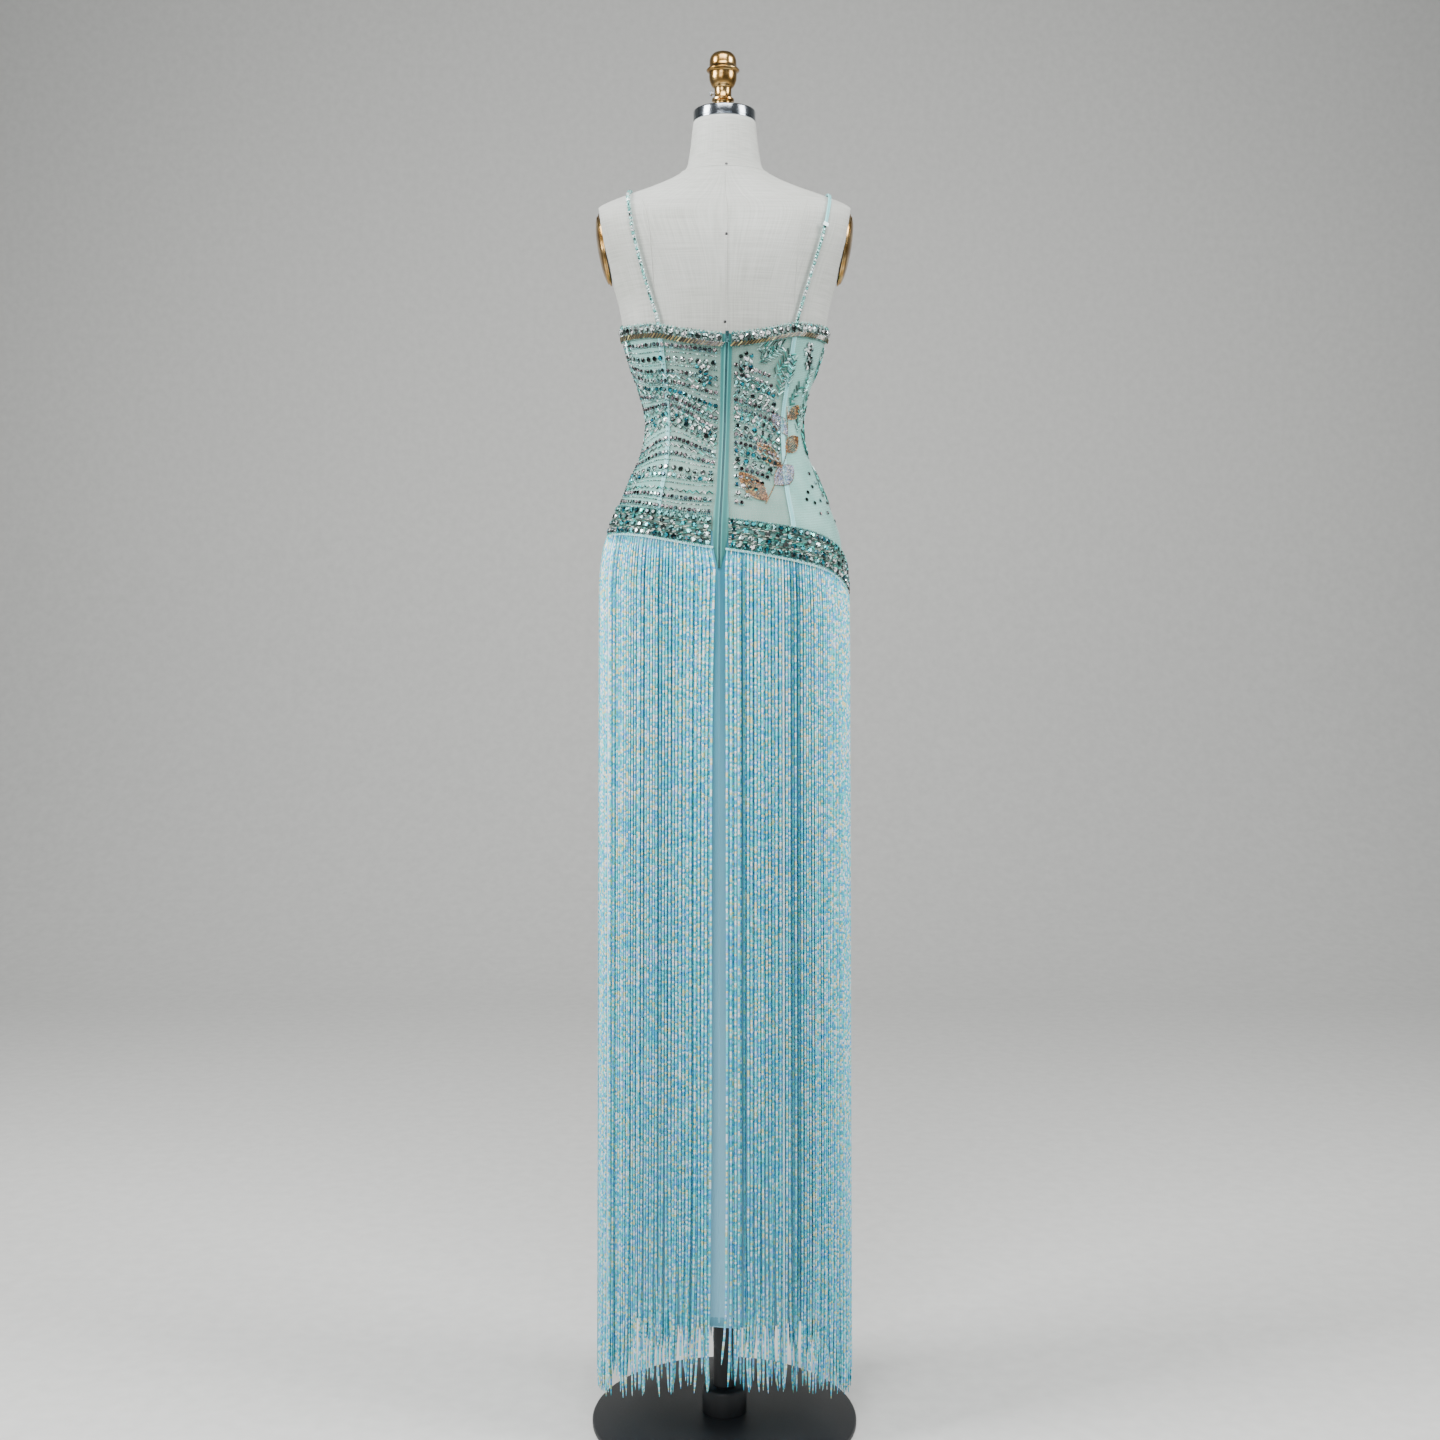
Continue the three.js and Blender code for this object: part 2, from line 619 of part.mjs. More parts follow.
const TRIM_PROFILE = [
  { share: 0, lift: 1.2 },
  { share: 0.1, lift: 2.0 },
  { share: 0.38, lift: 2.0 },
  { share: 0.46, lift: 1.4 },
  { share: 0.56, lift: 3.2 },
  { share: 0.86, lift: 3.2 },
  { share: 1, lift: 1.4 },
];
const trimLower = (angle) => topEdge(angle) - TRIM_HEIGHT;
const zipAngleTop = angleAtX(ZIP_AXIS.x, ZIP_AXIS.z, false);
const trimEnd = angleOfLength(ZIP_PART.trim, 0, ZIP_AXIS.z);
const seamHalf = angleOfLength(SEAM_GAP / 2, Math.PI, HIP_HEIGHT);
addMesh('top_trim_left', ribbedStrip(
  Math.PI + seamHalf, 2 * Math.PI + zipAngleTop - trimEnd, trimLower, topEdge, LAYER_IN, TRIM_PROFILE, 22,
), crystalTrim);
addMesh('top_trim_right', ribbedStrip(
  zipAngleTop + trimEnd, Math.PI - seamHalf, trimLower, topEdge, LAYER_IN, TRIM_PROFILE, 22,
), crystalTrim);

// Hip band with raised rows of stones

const bandProfile = [];
for (let row = 0; row < BAND_ROWS; row += 1) {
  bandProfile.push({ share: row / BAND_ROWS, lift: BAND_WALL });
  bandProfile.push({ share: (row + 0.5) / BAND_ROWS, lift: BAND_WALL + BAND_ROW_LIFT });
}
bandProfile.push({ share: 1, lift: BAND_WALL });
const zipAngleLow = seams.centreBack(joinHeight(0));
const bandEnd = angleOfLength(ZIP_PART.band, zipAngleLow, HIP_HEIGHT);
addMesh('hip_band_left', ribbedStrip(
  Math.PI + seamHalf, 2 * Math.PI + zipAngleLow - bandEnd, bandLower, bandUpper, LAYER_IN, bandProfile, 24, 3,
), beadBand);
addMesh('hip_band_right', ribbedStrip(
  zipAngleLow + bandEnd, Math.PI - seamHalf, bandLower, bandUpper, LAYER_IN, bandProfile, 24, 3,
), beadBand);

// Concealed zip: two tapes with the slider at the top and its pull hanging

const zipLower = () => ZIP_END_HEIGHT;
const tapeEdge = (z) => smoothAt(ZIP_TAPE_EDGE, 'z', 'x', z);
const tapeInner = SEAM_GAP;
const TAPE_ROWS = 16;
addMesh('zip_tape_left', seamStrip(
  seams.centreBack, zipLower, casingUpper, (z) => -tapeEdge(z), () => -tapeInner, ZIP_TAPE_WALL, TAPE_ROWS,
), zipTape);
addMesh('zip_tape_right', seamStrip(
  seams.centreBack, zipLower, casingUpper, () => tapeInner, tapeEdge, ZIP_TAPE_WALL, TAPE_ROWS,
), zipTape);

// The pull turns about a level axis across the slider, inside the slider's bridge
const SLIDER = { halfWidth: 2.4, up: 2.6, down: 9.4, wall: 2.4 };
const BRIDGE = { halfWidth: 0.7, inside: 0.8, reach: 1.2, wall: 1.0 };
const PULL = { halfWidth: 2.9, length: 13.4, wall: 0.9, eyeHalf: 1.15, eyeEnd: 3.3, neck: 4.4, top: 0.45 };
const sliderBack = formPoint(0, ZIP_AXIS.z + SLIDER.up, CLOTH_OUT + SEAM_GAP).y;
const axisY = sliderBack - SLIDER.wall - BRIDGE.inside;

function slider() {
  const body = block(
    new THREE.Vector3(-SLIDER.halfWidth, BRIDGE.inside, -SLIDER.down),
    new THREE.Vector3(SLIDER.halfWidth, BRIDGE.inside + SLIDER.wall, SLIDER.up),
  );
  const outer = BRIDGE.inside + BRIDGE.wall;
  const tall = BRIDGE.reach + BRIDGE.wall;
  const arch = block(
    new THREE.Vector3(-BRIDGE.halfWidth, -outer, -tall),
    new THREE.Vector3(BRIDGE.halfWidth, BRIDGE.inside + 1, tall),
  );
  const window = block(
    new THREE.Vector3(-2, -BRIDGE.inside, -BRIDGE.reach),
    new THREE.Vector3(2, BRIDGE.inside, BRIDGE.reach),
  );
  return fromSolid(toSolid(arch).subtract(toSolid(window)).add(toSolid(body)));
}

function zipPull() {
  const outline = new THREE.Shape();
  outline.moveTo(-2, PULL.top);
  outline.lineTo(-2.2, -PULL.neck);
  outline.lineTo(-PULL.halfWidth, -PULL.length + 4);
  outline.lineTo(-PULL.halfWidth + 1, -PULL.length + 1);
  outline.lineTo(0, -PULL.length + PULL.top);
  outline.lineTo(PULL.halfWidth - 1, -PULL.length + 1);
  outline.lineTo(PULL.halfWidth, -PULL.length + 4);
  outline.lineTo(2.2, -PULL.neck);
  outline.lineTo(2, PULL.top);
  const eye = new THREE.Path();
  eye.moveTo(-PULL.eyeHalf, -PULL.top);
  eye.lineTo(PULL.eyeHalf, -PULL.top);
  eye.lineTo(PULL.eyeHalf, -PULL.eyeEnd);
  eye.lineTo(-PULL.eyeHalf, -PULL.eyeEnd);
  outline.holes.push(eye);
  const geometry = new THREE.ExtrudeGeometry(outline, { depth: PULL.wall, bevelEnabled: false });
  geometry.translate(0, 0, -PULL.wall / 2);
  geometry.rotateX(Math.PI / 2);
  return geometry;
}

const sliderMesh = addMesh('zip_slider', slider(), enamel);
const pullMesh = addMesh('zip_pull', zipPull(), enamel);
for (const mesh of [sliderMesh, pullMesh]) mesh.position.set(ZIP_AXIS.x, axisY, ZIP_AXIS.z);

// Straps, each a beaded cord over the shoulder

// How far behind or before the middle plane the form reaches at a place on a section
function depthAt(x, z, side) {
  const section = sectionAt(FORM_SECTIONS, z);
  const share = 1 - (Math.abs(x) / section.halfWidth) ** section.square;
  return (side < 0 ? section.back : section.front) * Math.max(share, 0) ** (1 / section.square);
}

// The height where the shoulder is as deep as y, found by halving
function shoulderHeight(x, y) {
  let [low, high] = [1600, 1690];
  for (let pass = 0; pass < 24; pass += 1) {
    const middle = (low + high) / 2;
    if (depthAt(x, middle, Math.sign(y)) > Math.abs(y)) low = middle;
    else high = middle;
  }
  return low;
}

// How far a point lies from the form's skin, as a ratio: 1 is on the skin
function skinRatio({ x, y, z }) {
  const section = sectionAt(FORM_SECTIONS, z);
  const depth = y < 0 ? section.back : section.front;
  return (Math.abs(x) / section.halfWidth) ** section.square + (Math.abs(y) / depth) ** section.square;
}

function liftedOff(point, out) {
  const axes = [new THREE.Vector3(1, 0, 0), new THREE.Vector3(0, 1, 0), new THREE.Vector3(0, 0, 1)];
  const slopes = axes.map((axis) => skinRatio(point.clone().add(axis)) - skinRatio(point.clone().sub(axis)));
  return point.clone().addScaledVector(new THREE.Vector3(...slopes).normalize(), out);
}

function strapRoute(backColumn, frontColumn) {
  const lineAt = (column, z) => smoothAt(STRAP_LINES, 'z', column, z);
  const climb = (column, side) => {
    const angle = Math.abs(angleAtX(lineAt(column, 1480), 1480, side > 0));
    const start = topEdge(Math.sign(lineAt(column, 1480)) * angle) + 2;
    return evenShares(7).map((share) => {
      const z = THREE.MathUtils.lerp(start, SHOULDER_HEIGHT, share);
      const x = lineAt(column, z);
      return new THREE.Vector3(x, side * depthAt(x, z, side), z);
    });
  };
  const back = climb(backColumn, -1);
  const front = climb(frontColumn, 1).reverse();
  const [from, to] = [back[back.length - 1], front[0]];
  const over = evenShares(8).slice(1, -1).map((share) => {
    const x = THREE.MathUtils.lerp(from.x, to.x, share);
    const y = THREE.MathUtils.lerp(from.y, to.y, share);
    return new THREE.Vector3(x, y, shoulderHeight(x, y));
  });
  return [...back, ...over, ...front];
}

function strap(backColumn, frontColumn) {
  const out = STRAP_RADIUS + STRAP_CLEARANCE;
  const route = strapRoute(backColumn, frontColumn).map((point) => liftedOff(point, out));
  const round = new THREE.Shape();
  const sides = 6;
  for (let k = 0; k < sides; k += 1) {
    const turn = (k * 2 * Math.PI) / sides;
    const [x, y] = [STRAP_RADIUS * Math.cos(turn), STRAP_RADIUS * Math.sin(turn)];
    if (k === 0) round.moveTo(x, y);
    else round.lineTo(x, y);
  }
  const curve = new THREE.CatmullRomCurve3(route, false, 'centripetal');
  return new THREE.ExtrudeGeometry(round, { steps: 26, extrudePath: curve, bevelEnabled: false });
}

addMesh('strap_left', strap('leftBack', 'leftFront'), crystalTrim);
addMesh('strap_right', strap('rightBack', 'rightFront'), crystalTrim);

// A small flat keeper lies on the right strap, near the shoulder
const KEEPER = { z: 1596, halfWidth: 3.6, halfHeight: 2.4, wall: 1.4 };

function strapKeeper() {
  const onSkin = (z) => {
    const x = smoothAt(STRAP_LINES, 'z', 'rightBack', z);
    return new THREE.Vector3(x, -depthAt(x, z, -1), z);
  };
  const skin = onSkin(KEEPER.z);
  const seat = liftedOff(skin, STRAP_CLEARANCE + 2 * STRAP_RADIUS + SEAM_GAP);
  const outward = seat.clone().sub(skin).normalize();
  const across = onSkin(KEEPER.z + 1).sub(skin).cross(outward).normalize();
  const along = outward.clone().cross(across);
  const plate = block(
    new THREE.Vector3(-KEEPER.halfWidth, -KEEPER.halfHeight, 0),
    new THREE.Vector3(KEEPER.halfWidth, KEEPER.halfHeight, KEEPER.wall),
  );
  return plate.applyMatrix4(new THREE.Matrix4().makeBasis(across, along, outward).setPosition(seat));
}

addMesh('strap_keeper_right', strapKeeper(), chrome);

// Satin underskirt, open at the hem

const hem = () => HEM_HEIGHT;
const skirtUpper = (angle) => joinHeight(angle) - EDGE_GAP / 2;
const SKIRT_PANELS = [
  { name: 'skirt_back_left', from: 'sideLeft', to: 'centreBack', columns: 9 },
  { name: 'skirt_back_right', from: 'centreBack', to: 'sideRight', columns: 9 },
  { name: 'skirt_front', from: 'sideRight', to: 'sideLeft', columns: 17 },
];
// Rows are closer over the hip, where the skirt curves
const SKIRT_SHARES = [0, 0.22, 0.44, 0.66, 0.81, 0.87, 0.905, 0.935, 0.96, 0.98, 1];
for (const { name, from, to, columns } of SKIRT_PANELS) {
  addMesh(name, panel(seams[from], seams[to], hem, skirtUpper, skirtPoint, columns, SKIRT_SHARES), satin);
}

// Fringe: strands hang from a strip under the band's lower edge

const STRAND = { pitch: 5.5, margin: 2, radius: 1.4, tip: 1.0, fall: 72, sway: 0.9 };
const STRIP_MIDDLE = LAYER_IN + STRIP_WALL / 2;
const stripUpper = (angle) => bandLower(angle) - EDGE_GAP;
const stripLower = (angle) => stripUpper(angle) - STRIP_HEIGHT;

// A whole number turned into an even scatter between -1 and 1
const scatter = (seed) => 2 * THREE.MathUtils.euclideanModulo(seed * 0.618034 + 0.13 * Math.sin(seed * 7.3), 1) - 1;

// The fringe ends lower at the sides than at the centre back, and unevenly
const STRAND_END = { height: 60, riseAtBack: 26, uneven: 15 };

function strandEnd(angle, seed) {
  const nearBack = Math.max(Math.cos(angle), 0) ** 2;
  return STRAND_END.height + STRAND_END.riseAtBack * nearBack + STRAND_END.uneven * scatter(seed);
}

function strand(angle, seed) {
  const root = stripLower(angle) + STRIP_HEIGHT / 2;
  const end = strandEnd(angle, seed);
  const swayed = angle + angleOfLength(STRAND.sway * scatter(seed + 40), angle, HIP_HEIGHT);
  const centres = [
    sectionPoint(FRINGE_SECTION, swayed, end, FRINGE_SPLAY),
    sectionPoint(FRINGE_SECTION, angle, root - STRAND.fall, 0),
    bandPoint(angle, root, STRIP_MIDDLE),
  ];
  const radii = [STRAND.tip, STRAND.radius, STRAND.radius];
  const corners = [0, 1, 2].map((k) => angle - QUARTER + (k * 2 * Math.PI) / 3);
  const rings = centres.map((centre, i) => corners.map((turn) => new THREE.Vector3(
    centre.x + radii[i] * Math.cos(turn),
    centre.y + radii[i] * Math.sin(turn),
    centre.z,
  )));
  return loft(rings, corners.map((turn) => new THREE.Vector2(Math.cos(turn), Math.sin(turn))));
}

function fringe(start, end, seed) {
  const profile = [{ share: 0, lift: STRIP_WALL }, { share: 1, lift: STRIP_WALL }];
  const columns = Math.round((end - start) / THREE.MathUtils.degToRad(6));
  const strip = ribbedStrip(start, end, stripLower, stripUpper, LAYER_IN, profile, columns);
  let solid = toSolid(strip);
  let angle = start + angleOfLength(STRAND.margin, start, HIP_HEIGHT);
  let count = 0;
  while (angle < end - angleOfLength(STRAND.margin, end, HIP_HEIGHT)) {
    solid = solid.add(toSolid(strand(angle, seed + count)));
    angle += angleOfLength(STRAND.pitch, angle, HIP_HEIGHT);
    count += 1;
  }
  return fromSolid(solid);
}

const fringePart = angleOfLength(ZIP_PART.fringe, zipAngleLow, HIP_HEIGHT);
const sideGap = angleOfLength(SEAM_GAP / 2, QUARTER, HIP_HEIGHT);
const FRINGES = [
  { name: 'fringe_back_left', start: -QUARTER + sideGap, end: zipAngleLow - fringePart, seed: 1 },
  { name: 'fringe_back_right', start: zipAngleLow + fringePart, end: QUARTER - sideGap, seed: 101 },
  { name: 'fringe_front_right', start: QUARTER + sideGap, end: Math.PI - seamHalf, seed: 201 },
  { name: 'fringe_front_left', start: Math.PI + seamHalf, end: 3 * QUARTER - sideGap, seed: 301 },
];
for (const { name, start, end, seed } of FRINGES) addMesh(name, fringe(start, end, seed), fringeBeads);

export default dress;
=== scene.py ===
"""An evening dress with a net bodice, a beaded hip band and a long bead fringe, on its dress form.

Sizes are in millimetres, and put_mesh turns them into metres. The wearer faces +Y.
"""

import bmesh
import bpy
import numpy as np
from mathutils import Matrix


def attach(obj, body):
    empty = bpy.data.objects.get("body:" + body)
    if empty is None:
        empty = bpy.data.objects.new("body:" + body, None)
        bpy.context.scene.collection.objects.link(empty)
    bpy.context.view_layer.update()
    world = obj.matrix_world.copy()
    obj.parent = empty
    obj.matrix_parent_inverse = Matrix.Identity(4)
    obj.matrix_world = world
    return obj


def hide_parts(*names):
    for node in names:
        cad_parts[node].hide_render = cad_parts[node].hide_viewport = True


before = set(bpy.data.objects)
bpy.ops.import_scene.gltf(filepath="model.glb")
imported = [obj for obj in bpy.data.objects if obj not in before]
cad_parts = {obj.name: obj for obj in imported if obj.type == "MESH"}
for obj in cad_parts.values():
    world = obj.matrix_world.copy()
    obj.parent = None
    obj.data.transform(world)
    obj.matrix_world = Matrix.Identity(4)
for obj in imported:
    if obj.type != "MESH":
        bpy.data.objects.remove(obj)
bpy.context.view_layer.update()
BODY = "dress_and_form"


# The dress form's body
#
# A hollow shell padded to a small women's figure and covered in grey-white linen, sewn in panels
# with flat seams. It is smooth and taut, and cut flat where the arms would start.

# Height, half width, depth behind and before the middle plane, and how square the outline is
FORM = np.array([
    (1062, 153, 104, 98, 2.2), (1100, 157, 110, 100, 2.2), (1140, 158, 112, 100, 2.2),
    (1190, 154, 108, 99, 2.2), (1235, 138.5, 98, 96, 2.15), (1272, 123.5, 87, 92, 2.1),
    (1304, 110, 79, 88, 2.1), (1345, 103.5, 73, 84, 2.1), (1386, 112.5, 77, 90, 2.1),
    (1418, 123.5, 83, 100, 2.15), (1450, 133, 90, 113, 2.2), (1500, 142, 96, 125, 2.2),
    (1540, 153, 99, 120, 2.4), (1580, 166, 97, 104, 2.7), (1612, 172, 87, 86, 3.0),
    (1629, 172.5, 76, 71, 2.8), (1637, 164, 70, 64, 2.5), (1649, 136, 63, 57, 2.3),
    (1660, 106, 59, 53, 2.1), (1673, 75, 55, 50, 2.0), (1686, 54, 51, 48, 2.0),
    (1704, 48, 47.5, 46.5, 2.0), (1744, 43, 43, 43, 2.0), (1752, 42, 42, 42, 2.0),
])
# The armhole's plane passes through x and z, leans in by an angle, and reaches as far up as down
ARMHOLE = {"x": 161.5, "z": 1588, "lean": 0.168, "reach": 64}


def along(table, place):
    """A table's values at places: a cubic through its rows, level with each row's two neighbours."""
    key, value = table[:, 0], table[:, 1:]
    place = np.clip(place, key[0], key[-1])
    row = np.clip(np.searchsorted(key, place, side="left") - 1, 0, len(key) - 2)
    before = np.maximum(np.arange(len(key)) - 1, 0)
    after = np.minimum(np.arange(len(key)) + 1, len(key) - 1)
    slope = (value[after] - value[before]) / (key[after] - key[before])[:, None]
    step = (key[row + 1] - key[row])[..., None]
    t = (place - key[row])[..., None] / step
    return (value[row] * (1 + 2 * t) * (1 - t) ** 2 + value[row + 1] * (3 - 2 * t) * t ** 2
            + step * t * (1 - t) * (slope[row] * (1 - t) - slope[row + 1] * t))


def stacked(*parts):
    """Arrays of like or of matching shapes as the columns of one."""
    return np.stack(np.broadcast_arrays(*parts), -1)


def section_point(section, angle, z, out):
    """A point of a squared ellipse, with angle from the centre back towards the wearer's right:
    x is the half width times sin to the power 2/square, y the depth times cos to that power."""
    half, back, front, square = np.moveaxis(np.asarray(section, float), -1, 0)
    side, rear = np.sin(angle), np.cos(angle)
    x = (half + out) * np.sign(side) * np.abs(side) ** (2 / square)
    y = -(np.where(rear > 0, back, front) + out) * np.sign(rear) * np.abs(rear) ** (2 / square)
    return stacked(x, y, z)


def on_form(angle, z, out=0.0):
    """A point of the form's skin, moved out."""
    return section_point(along(FORM, z), angle, z, out)


def put_mesh(name, vertices, faces, uv=None, tint=None, smooth=True, weld=False, sharp=None):
    """A mesh object from vertices in millimetres and faces that all have as many corners.
    uv and tint have a row for each corner; weld merges doubles, and sharp is an angle in degrees."""
    vertices = np.asarray(vertices, float).reshape(-1, 3) / 1000
    mesh = bpy.data.meshes.new(name)
    mesh.vertices.add(len(vertices))
    mesh.vertices.foreach_set("co", vertices.astype(np.float32).ravel())
    mesh.loops.add(faces.size)
    mesh.loops.foreach_set("vertex_index", faces.astype(np.int32).ravel())
    mesh.polygons.add(len(faces))
    mesh.polygons.foreach_set("loop_start", np.arange(0, faces.size, faces.shape[1], dtype=np.int32))
    mesh.polygons.foreach_set("use_smooth", np.full(len(faces), smooth))
    if uv is not None:
        mesh.uv_layers.new(name="UVMap").data.foreach_set("uv", uv.astype(np.float32).ravel())
    if tint is not None:
        layer = mesh.attributes.new("tint", "FLOAT_COLOR", "CORNER")
        layer.data.foreach_set("color", tint.astype(np.float32).ravel())
    mesh.update(calc_edges=True)
    if weld:
        shape = bmesh.new()
        shape.from_mesh(mesh)
        bmesh.ops.remove_doubles(shape, verts=shape.verts, dist=1e-6)
        shape.to_mesh(mesh)
        shape.free()
    if sharp:
        mesh.set_sharp_from_angle(angle=np.radians(sharp))
    piece = bpy.data.objects.new(name, mesh)
    bpy.context.scene.collection.objects.link(piece)
    return piece


def surface(name, points, closed=False, uv=None, **how):
    """A skin over a grid of points, with rows that rise and columns that run to the right as seen
    from outside. closed joins the last column to the first. uv has one column more if closed."""
    rows, columns = points.shape[:2]
    row, column = np.meshgrid(np.arange(rows - 1), np.arange(columns - 1 + closed), indexing="ij")
    row, column = row.ravel(), column.ravel()
    right = (column + 1) % columns
    faces = np.stack([row * columns + column, row * columns + right,
                      (row + 1) * columns + right, (row + 1) * columns + column], -1)
    if uv is not None:
        uv = np.stack([uv[row, column], uv[row, column + 1],
                       uv[row + 1, column + 1], uv[row + 1, column]], 1)
    return put_mesh(name, points, faces, uv=uv, **how)


def linear(colour):
    """An sRGB hex colour as linear red, green, blue and alpha."""
    srgb = np.array([int(colour[i:i + 2], 16) for i in (1, 3, 5)]) / 255
    return (*np.where(srgb <= 0.04045, srgb / 12.92, ((srgb + 0.055) / 1.055) ** 2.4), 1.0)


def add(tree, kind, **values):
    """Adds a node. A value goes to the input of that name, or in0, in1 and so on by number, and is
    linked if it is a node or socket; hex text is a colour; stops fill a ramp; the rest are settings."""
    node = tree.nodes.new("ShaderNode" + kind)
    # Settings have small letters and go first, because some of them make inputs appear
    for name, value in sorted(values.items(), key=lambda item: item[0][0].isupper()):
        label = name.replace("_", " ")
        if name == "stops":
            ramp = node.color_ramp
            while len(ramp.elements) < len(value):
                ramp.elements.new(0.5)
            for element, (place, colour) in zip(ramp.elements, value):
                element.position, element.color = place, linear(colour)
            continue
        if name == "blend":
            node.color_ramp.interpolation = value
            continue
        numbered = name[:2] == "in" and name[2:].isdigit()
        if not numbered and label not in node.inputs:
            setattr(node, name, value)
            continue
        socket = node.inputs[int(name[2:])] if numbered else node.inputs[label]
        if isinstance(value, bpy.types.Node):
            value = next(output for output in value.outputs if output.enabled)
        if isinstance(value, bpy.types.NodeSocket):
            tree.links.new(value, socket)
        else:
            socket.default_value = linear(value) if isinstance(value, str) else value
    return node


def new_material(name):
    """A material with an empty tree, and the surface's UV map and Object coordinates in it."""
    material = bpy.data.materials.new(name)
    material.use_nodes = True
    tree = material.node_tree
    tree.nodes.clear()
    at = add(tree, "TexCoord").outputs
    return material, tree, at["UV"], at["Object"]


def dress_up(piece, material, slot, *nodes):
    """Gives a piece its material, rides it on the body and lets it stand for CAD nodes. slot is not used.
    """
    piece.data.materials.clear()
    piece.data.materials.append(material)
    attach(piece, BODY)
    if nodes:
        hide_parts(*nodes)
    return piece


# Linen, plain woven and sized: dull, grey-white, with slubs that show as faint upright and level
# streaks. Its 0.5 mm threads are drawn 1.6 mm apart, so that the render can show them.
linen, tree, cloth, place = new_material("woven_linen")
upright = add(tree, "Mapping", Vector=cloth, Scale=(620, 16, 1))
level = add(tree, "Mapping", Vector=cloth, Scale=(16, 620, 1))
slub_up = add(tree, "TexNoise", Vector=upright, Scale=1.0, Detail=3.0, noise_dimensions="2D")
slub_level = add(tree, "TexNoise", Vector=level, Scale=1.0, Detail=3.0, noise_dimensions="2D")
slub = add(tree, "Math", operation="ADD", in0=slub_up.outputs[0], in1=slub_level.outputs[0])
weave = add(tree, "ValToRGB", Fac=add(tree, "Math", operation="MULTIPLY", in0=slub, in1=0.5),
            stops=[(0.34, "#A9ABA6"), (0.5, "#B6B8B3"), (0.66, "#C0C2BD")])
soil = add(tree, "TexNoise", Vector=place, Scale=9.0, Detail=4.0)
shade = add(tree, "ValToRGB", Fac=soil.outputs[0], stops=[(0.3, "#E9E9E6"), (0.7, "#FFFFFF")])
colour = add(tree, "Mix", data_type="RGBA", blend_type="MULTIPLY", in0=1.0, in6=weave, in7=shade)
bump = add(tree, "Bump", Height=slub, Strength=0.15, Distance=0.0005)
shader = add(tree, "BsdfPrincipled", Base_Color=colour.outputs[2], Roughness=0.88, Normal=bump,
             Sheen_Weight=0.15, Specular_IOR_Level=0.3)
add(tree, "OutputMaterial", Surface=shader)

heights = np.concatenate([[1062], np.linspace(1062, 1604, 72), np.linspace(1608, 1690, 62),
                          np.linspace(1696, 1752, 12), [1752]])
turn = np.linspace(0, 2 * np.pi, 121)
body = on_form(turn[None, :-1], heights[:, None])
# At the armhole, x stops at the plane that leans in towards the waist
arm_plane = ARMHOLE["x"] + np.tan(ARMHOLE["lean"]) * (body[..., 2] - ARMHOLE["z"])
at_armhole = np.abs(body[..., 2] - ARMHOLE["z"]) < ARMHOLE["reach"]
body[..., 0] = np.where(at_armhole, np.clip(body[..., 0], -arm_plane, arm_plane), body[..., 0])
# The skin closes on the axis, above and below
body[[0, -1], :, :2] = 0
body_uv = stacked(turn[None, :] * 0.14, heights[:, None] / 1000)
dress_up(surface("form_linen", body, closed=True, uv=body_uv, weld=True), linen, "linen", "form_torso")


# Seams of the linen
#
# The panels are sewn with flat felled seams: down the middle of the back and front, from each
# shoulder over the shoulder blade and the breast, and round the neck. Three small dark pins mark
# the middle of the back.

def angle_at(x, z, table=FORM, front=False):
    """The angle of the point of a section that lies x from the middle plane."""
    half, _, _, square = np.moveaxis(along(table, z), -1, 0)
    angle = np.arcsin(np.minimum(np.abs(x) / half, 1) ** (square / 2)) * np.sign(x)
    return np.pi - angle if front else angle


def ribbon(name, angle, z, width, out, crown=0.0, point=on_form):
    """A flat strip along a line of angles and heights: each cross row is the line's point moved
    sideways by a share of the width, and raised in its middle by the crown."""
    near = point(angle + 0.01, z, 0.0) - point(angle - 0.01, z, 0.0)
    run = np.gradient(point(angle, z, 0.0), axis=0)
    outward = np.cross(near, np.array([0, 0, 1.0]))
    across = np.cross(run, outward)
    across /= np.linalg.norm(across, axis=1, keepdims=True)
    outward = np.cross(across, run)
    outward /= np.linalg.norm(outward, axis=1, keepdims=True)
    share = np.linspace(-1, 1, 5)
    lift = out + crown * (1 - share ** 2)
    grid = (point(angle, z, 0.0)[:, None] + across[:, None] * (share * width / 2)[:, None]
            + outward[:, None] * lift[:, None])
    length = np.cumsum(np.linalg.norm(run, axis=1)) / 1000
    uv = stacked(share[None] * width / 2000, length[:, None])
    return surface(name, grid, uv=uv)


back_seam_x = np.array([(1450, 91), (1500, 92), (1586, 98), (1612, 103), (1636, 110)], float)
rise = np.linspace(1455, 1634, 40)
shoulder_x = along(back_seam_x, rise)[:, 0]
lines = {
    "centre_back": (angle_at(np.full(40, 2.2), rise), np.linspace(1450, 1672, 40)),
    "centre_front": (np.full(40, np.pi), np.linspace(1505, 1672, 40)),
    "back_left": (-angle_at(shoulder_x, rise), rise),
    "back_right": (angle_at(shoulder_x, rise), rise),
    "front_left": (-angle_at(shoulder_x * 0.9, rise, front=True), rise),
    "front_right": (angle_at(shoulder_x * 0.9, rise, front=True), rise),
    "neck": (np.linspace(0.02, 2 * np.pi + 0.02, 80), np.full(80, 1681.0)),
}
for name, (angle, z) in lines.items():
    dress_up(ribbon("form_seam_" + name, angle, z, 1.8, 0.12, 0.35), linen, "linen")


